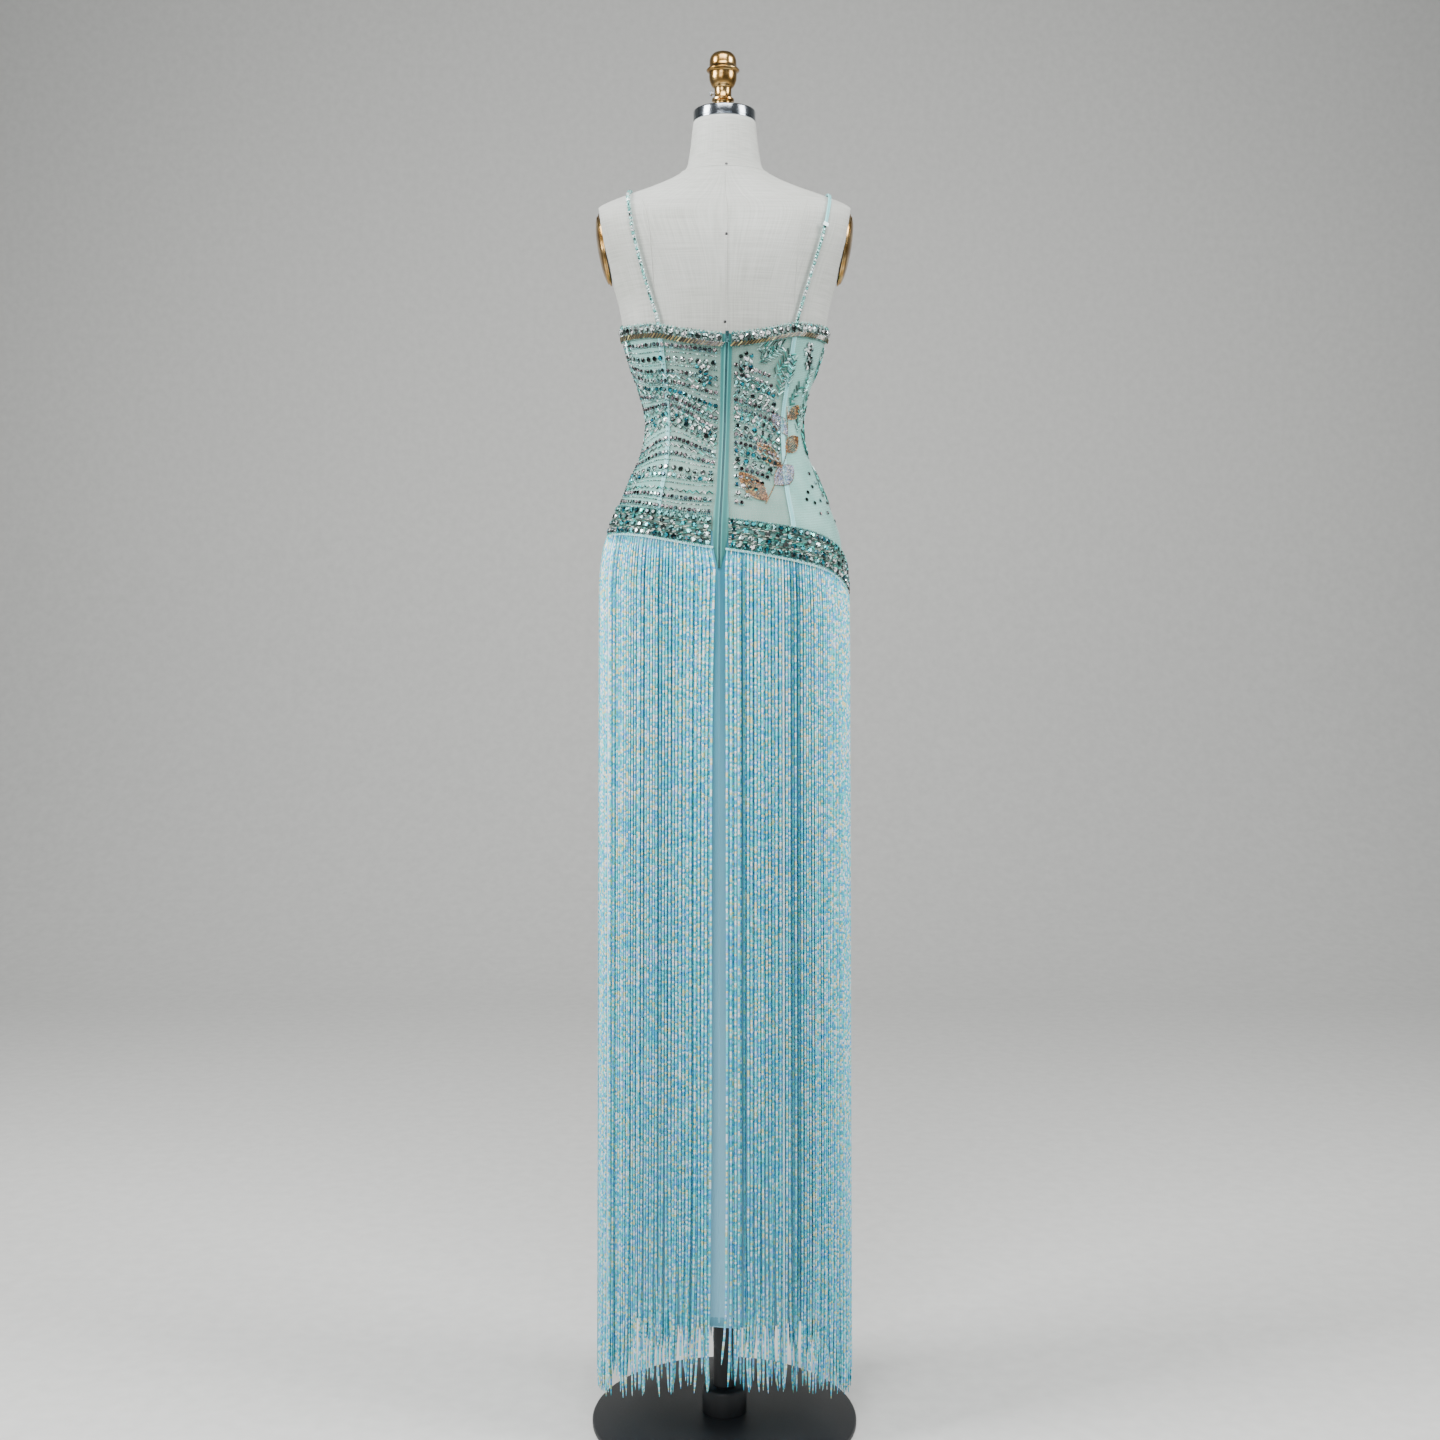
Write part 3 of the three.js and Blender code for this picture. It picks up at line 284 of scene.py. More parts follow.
def frames(angle, z, out=0.0, point=on_form):
    """Places on the body with their directions: across, along and outward, one row each."""
    place = point(angle, z, out)
    across = point(angle + 0.01, z, out) - point(angle - 0.01, z, out)
    upward = point(angle, z + 1.0, out) - point(angle, z - 1.0, out)
    outward = np.cross(across, upward)
    outward /= np.linalg.norm(outward, axis=-1, keepdims=True)
    across /= np.linalg.norm(across, axis=-1, keepdims=True)
    return place, np.stack([across, np.cross(outward, across), outward], -2)


def cut_stone(sides=6, table=0.55, girdle=0.2, height=0.62):
    """A flat-backed stone: a ring of corners at its widest and a smaller ring for its flat top."""
    turn = np.arange(sides) * 2 * np.pi / sides
    wide = np.stack([np.cos(turn), np.sin(turn), np.full(sides, girdle)], -1)
    flat = np.stack([table * np.cos(turn + np.pi / sides), table * np.sin(turn + np.pi / sides),
                     np.full(sides, height)], -1)
    vertices = np.concatenate([wide, flat, [[0, 0, 0], [0, 0, height]]])
    k, after = np.arange(sides), (np.arange(sides) + 1) % sides
    base, top = np.full(sides, 2 * sides), np.full(sides, 2 * sides + 1)
    faces = np.concatenate([np.stack(c, -1) for c in [
        (k, after, k + sides), (k + sides, after, after + sides),
        (k + sides, after + sides, top), (after, k, base)]])
    return vertices, faces


def sewn(name, shape, groups, seed, smooth=False):
    """Many copies of one small shape as one mesh. Each group is (places, directions, sizes, hex
    colours, contrast); contrast is the share of facets painted dark or bright, painted shade and
    painted glints. A flat top is painted bright on most stones, a painted highlight of the foil, so
    a stone is a light spot in a dark ring."""
    rng = np.random.default_rng(seed)
    corners, faces = shape
    first, second, third = corners[faces].swapaxes(0, 1)
    normal = np.cross(second - first, third - first)
    flat_top = (normal[:, 2] > 0.99 * np.linalg.norm(normal, axis=1))[:, None]
    all_vertices, all_tints = [], []
    for place, axes, size, colours, contrast in groups:
        size = np.broadcast_to(np.atleast_2d(size), (len(place), 3))
        local = corners[None] * size[:, None]
        all_vertices.append(place[:, None] + np.einsum("kvi,kij->kvj", local, axes))
        palette = np.array([linear(c)[:3] for c in colours])
        base = palette[rng.integers(0, len(palette), len(place))]
        chance = rng.uniform(size=(len(place), len(faces), 1))
        # Facets are painted dark, plain or bright: painted shade and painted glints
        dark = rng.uniform(0.02, 0.12, chance.shape)
        bright = rng.uniform(1.4, 2.8, chance.shape)
        light = np.where(chance < 0.6 * contrast, dark, np.where(chance > 1 - 0.25 * contrast, bright, 0.7))
        top = rng.uniform(size=(len(place), 1, 1))
        # A large stone's top is broken up by the facets behind it, painted dark as painted shade
        broken = (chance < 0.2) & (size[:, :1, None] > 3.5)
        light = np.where(flat_top, np.where((top < 0.15) | broken, dark, 0.5 + 1.5 * top), light)
        tint = np.clip(base[:, None] * light, 0, 1)
        all_tints.append(np.concatenate([tint, np.ones(tint.shape[:2] + (1,))], -1))
    vertices = np.concatenate(all_vertices)
    tints = np.concatenate(all_tints)
    every = (faces[None] + np.arange(len(vertices))[:, None, None] * len(corners)).reshape(-1, 3)
    tint = np.repeat(tints.reshape(-1, 4), 3, axis=0)
    return put_mesh(name, vertices, every, tint=tint, smooth=smooth)


# Black enamelled pin heads
pin_black, tree, _, place = new_material("black_enamel")
fleck = add(tree, "TexNoise", Vector=place, Scale=900.0)
gloss = add(tree, "MapRange", Value=fleck.outputs[0], To_Min=0.2, To_Max=0.4)
shader = add(tree, "BsdfPrincipled", Base_Color="#17181A", Roughness=gloss)
add(tree, "OutputMaterial", Surface=shader)
pin_z = np.array([1683.0, 1580.0, 1467.0])
place, axes = frames(angle_at(np.array([2.4, 2.4, 0.6]), pin_z), pin_z)
pins = [(place, axes, (2.0, 2.0, 1.5), ["#17181A"], 0.0)]
dress_up(sewn("form_pins", cut_stone(12), pins, 1), pin_black, "dark_steel")


# Neck cap, finial, arm plates and stand
#
# Turned chrome disc on the neck, and a turned brass finial with a thumb screw. Oval brass plates
# close the armholes. Below the form a steel pole stands on a round steel plate, powder coated.

def circle(sides):
    """Even angles once round, from 0, without the one that closes it."""
    return np.linspace(0, 2 * np.pi, sides + 1)[:-1]


def turned(name, profile, sides=72, centre=(0, 0), **how):
    """A turned piece: radii at heights, carried round an upright axis."""
    radius, z = np.array(profile, float).T
    points = stacked(centre[0] + radius[:, None] * np.cos(circle(sides)),
                     centre[1] + radius[:, None] * np.sin(circle(sides)),
                     z[:, None])
    turn = np.linspace(0, 2 * np.pi, sides + 1)
    uv = stacked(turn[None] * radius.max() / 1000, z[:, None] / 1000)
    return surface(name, points, closed=True, uv=uv, weld=True, **how)


# Chrome plate on turned steel: mirror bright, with the faintest rings from the lathe
chrome, tree, _, place = new_material("turned_chrome")
rings = add(tree, "TexWave", Vector=place, wave_type="BANDS", bands_direction="Z", Scale=420.0,
            Distortion=0.4)
gloss = add(tree, "MapRange", Value=rings.outputs["Fac"], To_Min=0.12, To_Max=0.2)
bump = add(tree, "Bump", Height=rings.outputs["Fac"], Strength=0.05, Distance=0.0002)
shader = add(tree, "BsdfPrincipled", Base_Color="#8E949B", Metallic=1.0, Roughness=gloss, Normal=bump)
add(tree, "OutputMaterial", Surface=shader)

# Satin brass, a little dulled by handling, with faint upright wipe marks
brass, tree, _, place = new_material("satin_brass")
wiped = add(tree, "Mapping", Vector=place, Scale=(1, 1, 0.08))
streaks = add(tree, "TexNoise", Vector=wiped, Scale=420.0, Detail=3.0)
patches = add(tree, "TexNoise", Vector=place, Scale=60.0, Detail=4.0)
worn = add(tree, "ValToRGB", Fac=patches.outputs[0],
           stops=[(0.3, "#8A6836"), (0.5, "#B48D54"), (0.72, "#D6BA86")])
gloss = add(tree, "MapRange", Value=streaks.outputs[0], To_Min=0.12, To_Max=0.34)
bump = add(tree, "Bump", Height=streaks.outputs[0], Strength=0.12, Distance=0.0003)
shader = add(tree, "BsdfPrincipled", Base_Color=worn, Metallic=1.0, Roughness=gloss, Normal=bump)
add(tree, "OutputMaterial", Surface=shader)

# Black powder coat on steel: satin, with its fine orange-peel
powder, tree, _, place = new_material("powder_coated_steel")
peel = add(tree, "TexNoise", Vector=place, Scale=700.0, Detail=2.0)
bump = add(tree, "Bump", Height=peel.outputs[0], Strength=0.2, Distance=0.0002)
gloss = add(tree, "MapRange", Value=peel.outputs[0], To_Min=0.4, To_Max=0.55)
shader = add(tree, "BsdfPrincipled", Base_Color="#1B1D20", Roughness=gloss, Normal=bump)
add(tree, "OutputMaterial", Surface=shader)

cap = [(0, 1752.3), (41.4, 1752.3), (42, 1752.9), (42, 1754), (41.2, 1754.5), (41.2, 1755.2), (42, 1755.7),
       (42, 1765.6), (41.6, 1766.8), (40.8, 1767.6), (39.6, 1767.8), (0, 1767.8)]
dress_up(turned("neck_cap", cap, 96, sharp=40), chrome, "chrome", "form_neck_cap")
finial = [(0, 1768.1), (15, 1768.1), (15, 1771), (13, 1772), (11.6, 1773.2), (11.5, 1779.8), (12.6, 1780.9),
          (15, 1781.5), (15, 1784), (12.6, 1784.8), (11.5, 1786), (11.5, 1797.6), (12.4, 1799.6),
          (14.2, 1801), (15.8, 1803), (17, 1806), (18.3, 1809.5), (18.8, 1814), (18.6, 1819.6),
          (19.6, 1820.9), (21.6, 1821.7), (22.3, 1822.5), (22.3, 1823.4), (21.2, 1824.6), (19.4, 1826.6),
          (18.4, 1828.6), (18.2, 1832), (18.2, 1836), (17.4, 1839), (16.6, 1841.2), (14.8, 1844),
          (12.2, 1846), (8.6, 1847.3), (4.4, 1847.9), (0, 1848)]
dress_up(turned("finial", finial, 72, (-2, 0), sharp=50), brass, "brass", "form_finial")


def rod(name, stations, centre, upright):
    """A turned rod with its axis along x, or upright, from (place on the axis, radius) stations."""
    place, radius = np.array(stations, float).T
    ring = stacked(place[:, None], radius[:, None] * np.cos(circle(24)),
                   radius[:, None] * np.sin(circle(24)))
    if upright:
        ring = ring[..., [1, 2, 0]]
    return surface(name, ring + np.array(centre, float), closed=True, weld=True, sharp=50)


# The screw's shank lies level, and its crossbar stands upright on the shank's end
shank = [(-18.2, 0), (-18.2, 1.6), (-11.9, 1.6), (-11.9, 0)]
bar = [(-3.4, 0), (-3.4, 0.9), (-2.9, 1.5), (-1, 1.7), (1, 1.7), (2.9, 1.5), (3.4, 0.9), (3.4, 0)]
dress_up(rod("screw_shank", shank, (-2, 0, 1792), False), chrome, "chrome", "form_finial_screw")
dress_up(rod("screw_bar", bar, (-18.2, 0, 1792), True), chrome, "chrome")

# Each plate is an oval dome with a turned rim, leaning in with the armhole
ARM_PLATE = {"down": 8, "tall": 49, "deep": 39}
dome = np.linspace(0.94, 0, 14)[:, None]
plate = np.concatenate([[(1, 0.2), (1, 1.8), (0.985, 2.4), (0.965, 2.5), (0.95, 2.1)],
                        np.concatenate([dome, 1.4 + 9.4 * np.sqrt(1 - dome ** 2)], 1)])
for name, side in [("left", -1), ("right", 1)]:
    share, thick = plate[:, :1], plate[:, 1:]
    tall = share * ARM_PLATE["tall"] * np.sin(circle(96)) - ARM_PLATE["down"]
    deep = share * ARM_PLATE["deep"] * np.cos(circle(96))
    cos, sin = np.cos(ARMHOLE["lean"]), np.sin(ARMHOLE["lean"])
    x = ARMHOLE["x"] + thick * cos + tall * sin
    z = ARMHOLE["z"] - thick * sin + tall * cos
    points = stacked(side * x, deep, z)
    if side < 0:
        points = points[:, ::-1]
    oval = surface("arm_plate_" + name, points, closed=True, weld=True, sharp=40)
    dress_up(oval, brass, "brass", "form_arm_plate_" + name)

pole = [(0, 12.3), (30, 12.3), (30, 42), (29, 44.6), (26.5, 46.3), (15, 46.3), (15, 1053.7), (47, 1053.7),
        (48, 1054.5), (48, 1061), (47.3, 1061.7), (0, 1061.7)]
dress_up(turned("stand_pole", pole, 48, sharp=40), powder, "dark_steel", "form_pole")
foot = [(0, 0), (176.8, 0), (178, 1.2), (178, 5), (177.2, 6.6), (175, 8), (120, 9.8), (60, 11.4), (42, 12),
        (0, 12)]
dress_up(turned("stand_base", foot, 120, sharp=40), powder, "dark_steel", "form_base")


# Underskirt
#
# Light blue duchess satin, three panels joined at the sides and the centre back. It hangs from the
# hip in slight upright folds to a narrow hem, and shows only where the fringe parts.

# The underskirt's outline, in the same columns as the form's, whose own it is above the hip
SKIRT = np.concatenate([
    np.array([(164, 158, 99, 95, 2.1), (620, 158, 105, 98, 2.15), (1000, 157, 110, 100, 2.2)]),
    FORM[FORM[:, 0] >= 1140],
])
# Angle in degrees from the centre back, and the hip band's upper and lower edge there
BAND_EDGES = np.array([
    (-90, 1234, 1195), (-55, 1229, 1194), (-35, 1224, 1189), (-5, 1213, 1175), (13, 1207, 1167),
    (41, 1197, 1154), (58, 1187, 1144), (72, 1174, 1132), (90, 1151, 1114), (108, 1136, 1102),
    (125, 1138, 1102), (150, 1155, 1116), (180, 1181, 1141), (210, 1206, 1166), (240, 1225, 1186),
    (270, 1234, 1195),
], float)
# Height, and x of the centre back seam and the zip
CENTRE_BACK = np.array([(100, -6.8), (1150, -6.8), (1190, -6.2), (1260, -2.9), (1331, 0), (1400, 1.8),
                        (1470, 3.6)], float)
# The satin's distance off the form
SATIN_OUT = 2.4


def edge(table, column, angle):
    """The height of an edge that runs round the body."""
    return along(table, (np.degrees(angle) + 90) % 360 - 90)[..., column]


def band_upper(angle):
    return edge(BAND_EDGES, 0, angle)


def band_lower(angle):
    return edge(BAND_EDGES, 1, angle)


def join(angle):
    """Bodice and skirt meet under the middle of the hip band."""
    return (band_upper(angle) + band_lower(angle)) / 2


def on_skirt(angle, z, out=0.0):
    """A point of the underskirt. Towards the hem it waves in and out by up to 2 mm."""
    wave = 2.0 * np.clip((1000 - z) / 836, 0, 1) ** 1.3 * np.sin(17 * angle + 0.9 * np.sin(3 * angle))
    return section_point(along(SKIRT, z), angle, z, out + wave)


def centre_back(z):
    return angle_at(along(CENTRE_BACK, z)[..., 0], z, SKIRT)


def side_left(z):
    return np.full_like(z, -np.pi / 2)


def side_right(z):
    return np.full_like(z, np.pi / 2)


def seam_angle(seam, lower, upper, share):
    """Where a seam meets the height that lies a share of the way up, found by going to and fro."""
    angle = seam(np.full_like(share, 1300.0))
    for _ in range(8):
        angle = seam(lower(angle) * (1 - share) + upper(angle) * share)
    return angle


def panel(name, start, end, lower, upper, point, columns, share, out):
    """A panel between two seams and two edges, on the body: rows run from seam to seam and columns
    from edge to edge. Returns it with its measured width, length and area in metres."""
    first = seam_angle(start, lower, upper, share)
    last = seam_angle(end, lower, upper, share)
    last = np.where(last < first, last + 2 * np.pi, last)
    u = np.linspace(0, 1, columns + 1)
    angle = first[:, None] + (last - first)[:, None] * u
    low, high = lower(angle), upper(angle)
    z = low * (1 - share[:, None]) + high * share[:, None]
    points = point(angle, z, out)
    across = np.linalg.norm(np.diff(points, axis=1), axis=2)
    up = np.linalg.norm(np.diff(points, axis=0), axis=2)
    uv = stacked(angle * 0.145, z / 1000)
    piece = surface(name, points, uv=uv)
    width, length = across.sum(1).max() / 1000, up.sum(0).max() / 1000
    area = (across[:-1] * (up[:, :-1] + up[:, 1:]) / 2).sum() / 1e6
    return piece, (round(float(width), 3), round(float(length), 3)), float(area)


# Duchess satin: the warp floats upright, so light draws out across it. Towards the hem its colour is
# painted paler, painted light that lifts the shade there. The weave itself is too fine to show.
satin, tree, cloth, _ = new_material("duchess_satin")
fine = add(tree, "TexNoise", Vector=add(tree, "Mapping", Vector=cloth, Scale=(900, 40, 1)), Scale=1.0,
           Detail=2.0, noise_dimensions="2D")
soft = add(tree, "TexNoise", Vector=add(tree, "Mapping", Vector=cloth, Scale=(60, 3, 1)), Scale=1.0,
           Detail=2.0, noise_dimensions="2D")
sheen = add(tree, "ValToRGB", Fac=soft.outputs[0],
            stops=[(0.3, "#277C92"), (0.55, "#378CA4"), (0.75, "#4D9FB6")])
height_up = add(tree, "SeparateXYZ", Vector=cloth).outputs["Y"]
# Painted light: the colour is mixed paler towards the hem
painted_light_towards_hem = add(tree, "MapRange", Value=height_up, From_Min=1.15, From_Max=0.3, To_Max=0.9)
colour = add(tree, "Mix", data_type="RGBA", in0=painted_light_towards_hem, in6=sheen, in7="#9FDCF2")
bump = add(tree, "Bump", Height=fine.outputs[0], Strength=0.12, Distance=0.0004)
shader = add(tree, "BsdfPrincipled", Base_Color=colour.outputs[2], Roughness=0.45, Anisotropic=0.4,
             Specular_IOR_Level=0.35, Normal=bump)
add(tree, "OutputMaterial", Surface=shader)


def hem(angle):
    return np.full_like(angle, 164.0)


skirt_share = np.concatenate([np.linspace(0, 0.8, 40), np.linspace(0.81, 1, 30)])
for name, start, end, columns in [("back_left", side_left, centre_back, 60),
                                  ("back_right", centre_back, side_right, 60),
                                  ("front", side_right, side_left, 120)]:
    piece, flat, area = panel("underskirt_" + name, start, end, hem, join, on_skirt, columns,
                              skirt_share, SATIN_OUT)
    dress_up(piece, satin, "satin", "skirt_" + name)

# The centre back seam is pressed open under the satin and shows as a soft ridge
z = np.linspace(170, 1150, 60)
ridge = ribbon("underskirt_seam", centre_back(z), z, 2.4, 2.5, 0.5, on_skirt)
dress_up(ridge, satin, "satin")
# The hem is turned up once
angle = np.linspace(0, 2 * np.pi, 241)
turned_up = ribbon("underskirt_hem", angle, np.full_like(angle, 172.0), 15, 2.2, 0.5, on_skirt)
dress_up(turned_up, satin, "satin")


# Fringe
#
# Long strands of 2 mm glass seed beads, knotted on a tape under the hip band. Two layers of
# strands hang close, aqua, blue, cream and white mixed, and end unevenly above the floor.

# Half width, depth behind and before, and squareness of the fringe's fall
FRINGE_SECTION = (167, 119, 108, 2.15)


def on_band(angle, z, out=0.0):
    """The hip under the band, which stands off a little at its lowest point by its own weight."""
    away = (np.degrees(angle) - 98) / 26
    low = np.clip((1185 - z) / 60, 0, 1)
    return section_point(along(SKIRT, z), angle, z, out + 5 * low * np.exp(-away ** 2))


# Glass seed beads, bead by bead: each is about 2 mm long, drawn 2.9 mm long so that it shows. UV runs
# across the strands by number, with 1000 more in the inner layer, and along them in metres. One strand
# in sixteen is painted whiter, a painted highlight, and one in twelve is painted dark, painted shade for
# the gaps between strands, and they show as fine upright lines.
seed_glass, tree, cloth, place = new_material("seed_bead_glass")
split = add(tree, "SeparateXYZ", Vector=cloth)
along_strand = add(tree, "Math", operation="MULTIPLY", in0=split.outputs["Y"], in1=350.0)
bead_number = add(tree, "Math", operation="FLOOR", in0=along_strand)
strand_number = add(tree, "Math", operation="FLOOR", in0=split.outputs["X"])
cell = add(tree, "CombineXYZ", X=strand_number, Y=bead_number)
chance = add(tree, "TexWhiteNoise", Vector=cell, noise_dimensions="2D")
colours = add(tree, "ValToRGB", Fac=chance.outputs["Value"], blend="CONSTANT", stops=[
    (0.0, "#6CE8EE"), (0.31, "#36BAF0"), (0.46, "#F8E8AE"), (0.58, "#FFFFFF"), (0.76, "#2CBECC"),
    (0.87, "#A2CEFF")])
# Per strand, by chance: whiter strands are a painted highlight, dark strands painted shade for the gaps
strand_chance = add(tree, "TexWhiteNoise", W=strand_number, noise_dimensions="1D")
strand_painted_shade = add(tree, "ValToRGB", Fac=strand_chance.outputs["Value"], stops=[
    (0.0, "#55A0AA"), (0.09, "#86C6CE"), (0.13, "#F2FCFC"), (1.0, "#FFFFFF")])
strand_painted_highlight = add(tree, "MapRange", Value=strand_chance.outputs["Value"], From_Min=0.935, From_Max=0.94,
                   To_Max=0.6)
inner_layer_painted_shade = add(tree, "Math", operation="GREATER_THAN", in0=split.outputs["X"], in1=1000.0)
colours_with_painted_highlight = add(tree, "Mix", data_type="RGBA", in0=strand_painted_highlight, in6=colours, in7="#F2FDFD")
# The inner layer gets painted shade, for hanging behind the outer one, and towards the floor both get
# painted shade, darker downwards
painted_shade_low_down = add(tree, "MapRange", Value=add(tree, "SeparateXYZ", Vector=place).outputs["Z"],
               From_Min=1.0, From_Max=0.2)
colour = colours_with_painted_highlight
for amount, shade in [(1.0, strand_painted_shade), (inner_layer_painted_shade, "#CDF2F6"), (painted_shade_low_down, "#C8DFE6")]:
    colour = add(tree, "Mix", data_type="RGBA", blend_type="MULTIPLY", in0=amount,
                 in6=colour.outputs[2], in7=shade)
inside_bead = add(tree, "Math", operation="FRACT", in0=along_strand)
roundness = add(tree, "Math", operation="SINE",
                in0=add(tree, "Math", operation="MULTIPLY", in0=inside_bead, in1=np.pi))
bump = add(tree, "Bump", Height=roundness, Strength=0.4, Distance=0.0008)
shader = add(tree, "BsdfPrincipled", Base_Color=colour.outputs[2], Roughness=0.25, Coat_Weight=0.4,
             Coat_Roughness=0.1, Normal=bump)
add(tree, "OutputMaterial", Surface=shader)


def fringe_angle(x):
    """The angle where the fringe's section lies x from the middle plane."""
    half, _, _, square = FRINGE_SECTION
    return np.sign(x) * np.arcsin((abs(x) / half) ** (square / 2))


# The fringe parts at the centre back, between these angles
GAP = (fringe_angle(-14.6), fringe_angle(1.0))
# Strands lie 4.1 mm apart, with 145 mm to a radian of the hip, and ease out over their first 72 mm
PITCH, RADIUS, EASE = 4.1 / 145, 1.4, 72
# The tape with their knots lies this far below the band's lower edge
TAPE_DROP = 2.0


def strands(name, start, end, seed):
    """Strands as four-sided tubes in two layers: each centre line leaves its knot on the tape, eases
    out to the fall of the fringe, and hangs with a slight sway. Beside the gap at the centre back the
    strands close in below the zip and part further down. At their ends strands cling in fours and
    curl. The real strands are 2 mm thick, and are drawn 2.8 mm thick so that they show."""
    rng = np.random.default_rng(seed)
    angles, depths = [], []
    # The outer and the inner layer: how far out it hangs, and its shift along the row
    for out, shift in [(0.9, 0.0), (-1.9, 0.5)]:
        row = np.arange(start + (0.3 + shift) * PITCH, end - 0.25 * PITCH, PITCH)
        angles.append(row + rng.normal(0, 0.1 * PITCH, len(row)))
        depths.append(np.full(len(row), out) + rng.normal(0, 0.25, len(row)))
    angle, depth = np.concatenate(angles), np.concatenate(depths)
    count, outer = len(angle), len(angles[0])
    root = band_lower(angle) - TAPE_DROP
    # The strands end some 62 mm above the floor, and higher towards the centre back
    near_back = np.clip(np.cos(angle), 0, None) ** 2
    tip = 62 + 42 * near_back + rng.uniform(-16, 22, count)
    share = np.concatenate([np.zeros(6), 1 - (1 - np.linspace(0, 1, 17)[1:]) ** 1.6])[None]
    down = np.concatenate([np.linspace(0, EASE, 6), np.full(16, EASE)])[None]
    z = root[:, None] - down - share * (root - EASE - tip)[:, None]
    ease = (down / EASE)[..., None]
    ease = ease * ease * (3 - 2 * ease)
    knot = on_band(angle[:, None], z, 4.2 + depth[:, None])
    section = np.broadcast_to(FRINGE_SECTION, z.shape + (4,))
    hang = section_point(section, angle[:, None], z, depth[:, None] + 2.5 * share)
    centre = knot * (1 - ease) + hang * ease
    phase = rng.uniform(0, 2 * np.pi, (count, 2))
    sway = rng.normal(0, 0.5, (count, 1)) * np.sin(3 * share + phase[:, :1])
    sway += 0.3 * np.sin(11 * share + phase[:, 1:])
    bunch = np.floor(np.arange(count) / 4 + rng.uniform(-0.3, 0.3, count)) * 4 + 1.5
    sway += (bunch - np.arange(count))[:, None] * 1.5 * share ** 6
    sway += rng.normal(0, 3.4, (count, 1)) * share ** 12
    sway += rng.normal(0, 0.9, (count, 1)) * np.sin(40 * share + phase[:, :1]) * share ** 8
    fallen = root[:, None] - z
    # The distance to the gap, with 150 mm to a radian of the back
    from_gap = np.abs(angle[:, None] - GAP).min(1) * 150
    closing = np.where(angle < 0, 5.5, -1.2) * np.exp(-from_gap / 22)
    closed = closing[:, None] * np.minimum(fallen / 30, 1) * np.exp(-np.maximum(fallen - 30, 0) / 110)
    tangent = np.stack([np.cos(angle), np.sin(angle), np.zeros(count)], -1)
    centre += tangent[:, None] * (sway * share + closed)[..., None]
    radius = np.full(z.shape, RADIUS)
    radius[:, [0, -1]] = 0.3
    corner = angle[:, None] - np.pi / 2 + np.arange(4) * np.pi / 2
    ring = np.stack([np.cos(corner), np.sin(corner), np.zeros_like(corner)], -1)
    points = centre[:, :, None] + radius[..., None, None] * ring[:, None]
    rows = z.shape[1]
    index = np.arange(count * rows * 4).reshape(count, rows, 4)
    right = np.roll(index, -1, axis=2)
    # Rows run downwards, so each face takes its lower row first to point outwards
    faces = np.stack([index[:, 1:], right[:, 1:], right[:, :-1], index[:, :-1]], -1).reshape(-1, 4)
    number = np.arange(count) + 0.5 + np.where(np.arange(count) < outer, 0, 1000)
    number = np.broadcast_to(number[:, None, None], (count, rows - 1, 4))
    lower, upper = [np.broadcast_to(part[..., None], number.shape) for part in (z[:, 1:], z[:, :-1])]
    shift = rng.uniform(0, 1, count)[:, None, None]
    v = np.stack([lower, lower, upper, upper], -1) / 1000 + shift[..., None]
    uv = np.stack([np.broadcast_to(number[..., None], v.shape), v], -1).reshape(-1, 4, 2)
    return put_mesh(name, points, faces, uv=uv)


# Woven tape that carries the strands and edges the band: aqua, matt, with a faint rib
tape, tree, cloth, _ = new_material("woven_tape")
rib = add(tree, "TexWave", Vector=cloth, wave_type="BANDS", bands_direction="Y", Scale=180.0,
          Distortion=0.3)
shine = add(tree, "TexNoise", Vector=cloth, Scale=160.0, Detail=3.0, noise_dimensions="2D")
colour = add(tree, "ValToRGB", Fac=shine.outputs[0],
             stops=[(0.3, "#93CFD2"), (0.55, "#A9DCDD"), (0.8, "#C2E8E8")])
bump = add(tree, "Bump", Height=rib.outputs["Fac"], Strength=0.3, Distance=0.0003)
shader = add(tree, "BsdfPrincipled", Base_Color=colour, Roughness=0.6, Sheen_Weight=0.2, Normal=bump)
add(tree, "OutputMaterial", Surface=shader)

quarter = np.pi / 2
FRINGES = [("back_left", -quarter, GAP[0], 1), ("back_right", GAP[1], quarter, 2),
           ("front_right", quarter, np.pi, 3), ("front_left", np.pi, 3 * quarter, 4)]
for name, start, end, seed in FRINGES:
    fringe = strands("bead_fringe_" + name, start, end, seed)
    dress_up(fringe, seed_glass, "fringe_beads", "fringe_" + name)
    angle = np.linspace(start, end, 60)
    backing = ribbon("fringe_tape_" + name, angle, band_lower(angle) - TAPE_DROP, 3.0, 4.6, 0.5, on_band)
    dress_up(backing, tape, "satin_tape")


# Bodice
#
# Sheer aqua net, cut in seven panels and sewn in princess seams. It is drawn close on the figure,
# so the linen shows grey through it; the side panels are lined with a second net.

# Angle in degrees from the centre back, and the top edge's height there
TOP_EDGE = np.array([
    (-90, 1471), (-60, 1468), (-39, 1466), (-18, 1457), (0, 1452), (18, 1457), (41, 1468), (62, 1469),
    (90, 1471), (112, 1494), (138, 1537), (158, 1531), (180, 1512), (202, 1531), (222, 1537),
    (248, 1494), (270, 1471),
], float)
# Height, and x of the princess seams: left and right on the back, and alike on the front
BACK_PRINCESS = np.array([(1100, -90, 93), (1200, -87, 88), (1250, -81, 80), (1283, -75, 77),
                          (1345, -73, 75), (1410, -78, 84), (1480, -87, 94)], float)
FRONT_PRINCESS = np.array([(1080, 88), (1200, 82), (1345, 58), (1450, 78), (1545, 88)], float)
# The net's distance off the form
NET_OUT = 2.1


def top_edge(angle):
    return edge(TOP_EDGE, 0, angle)


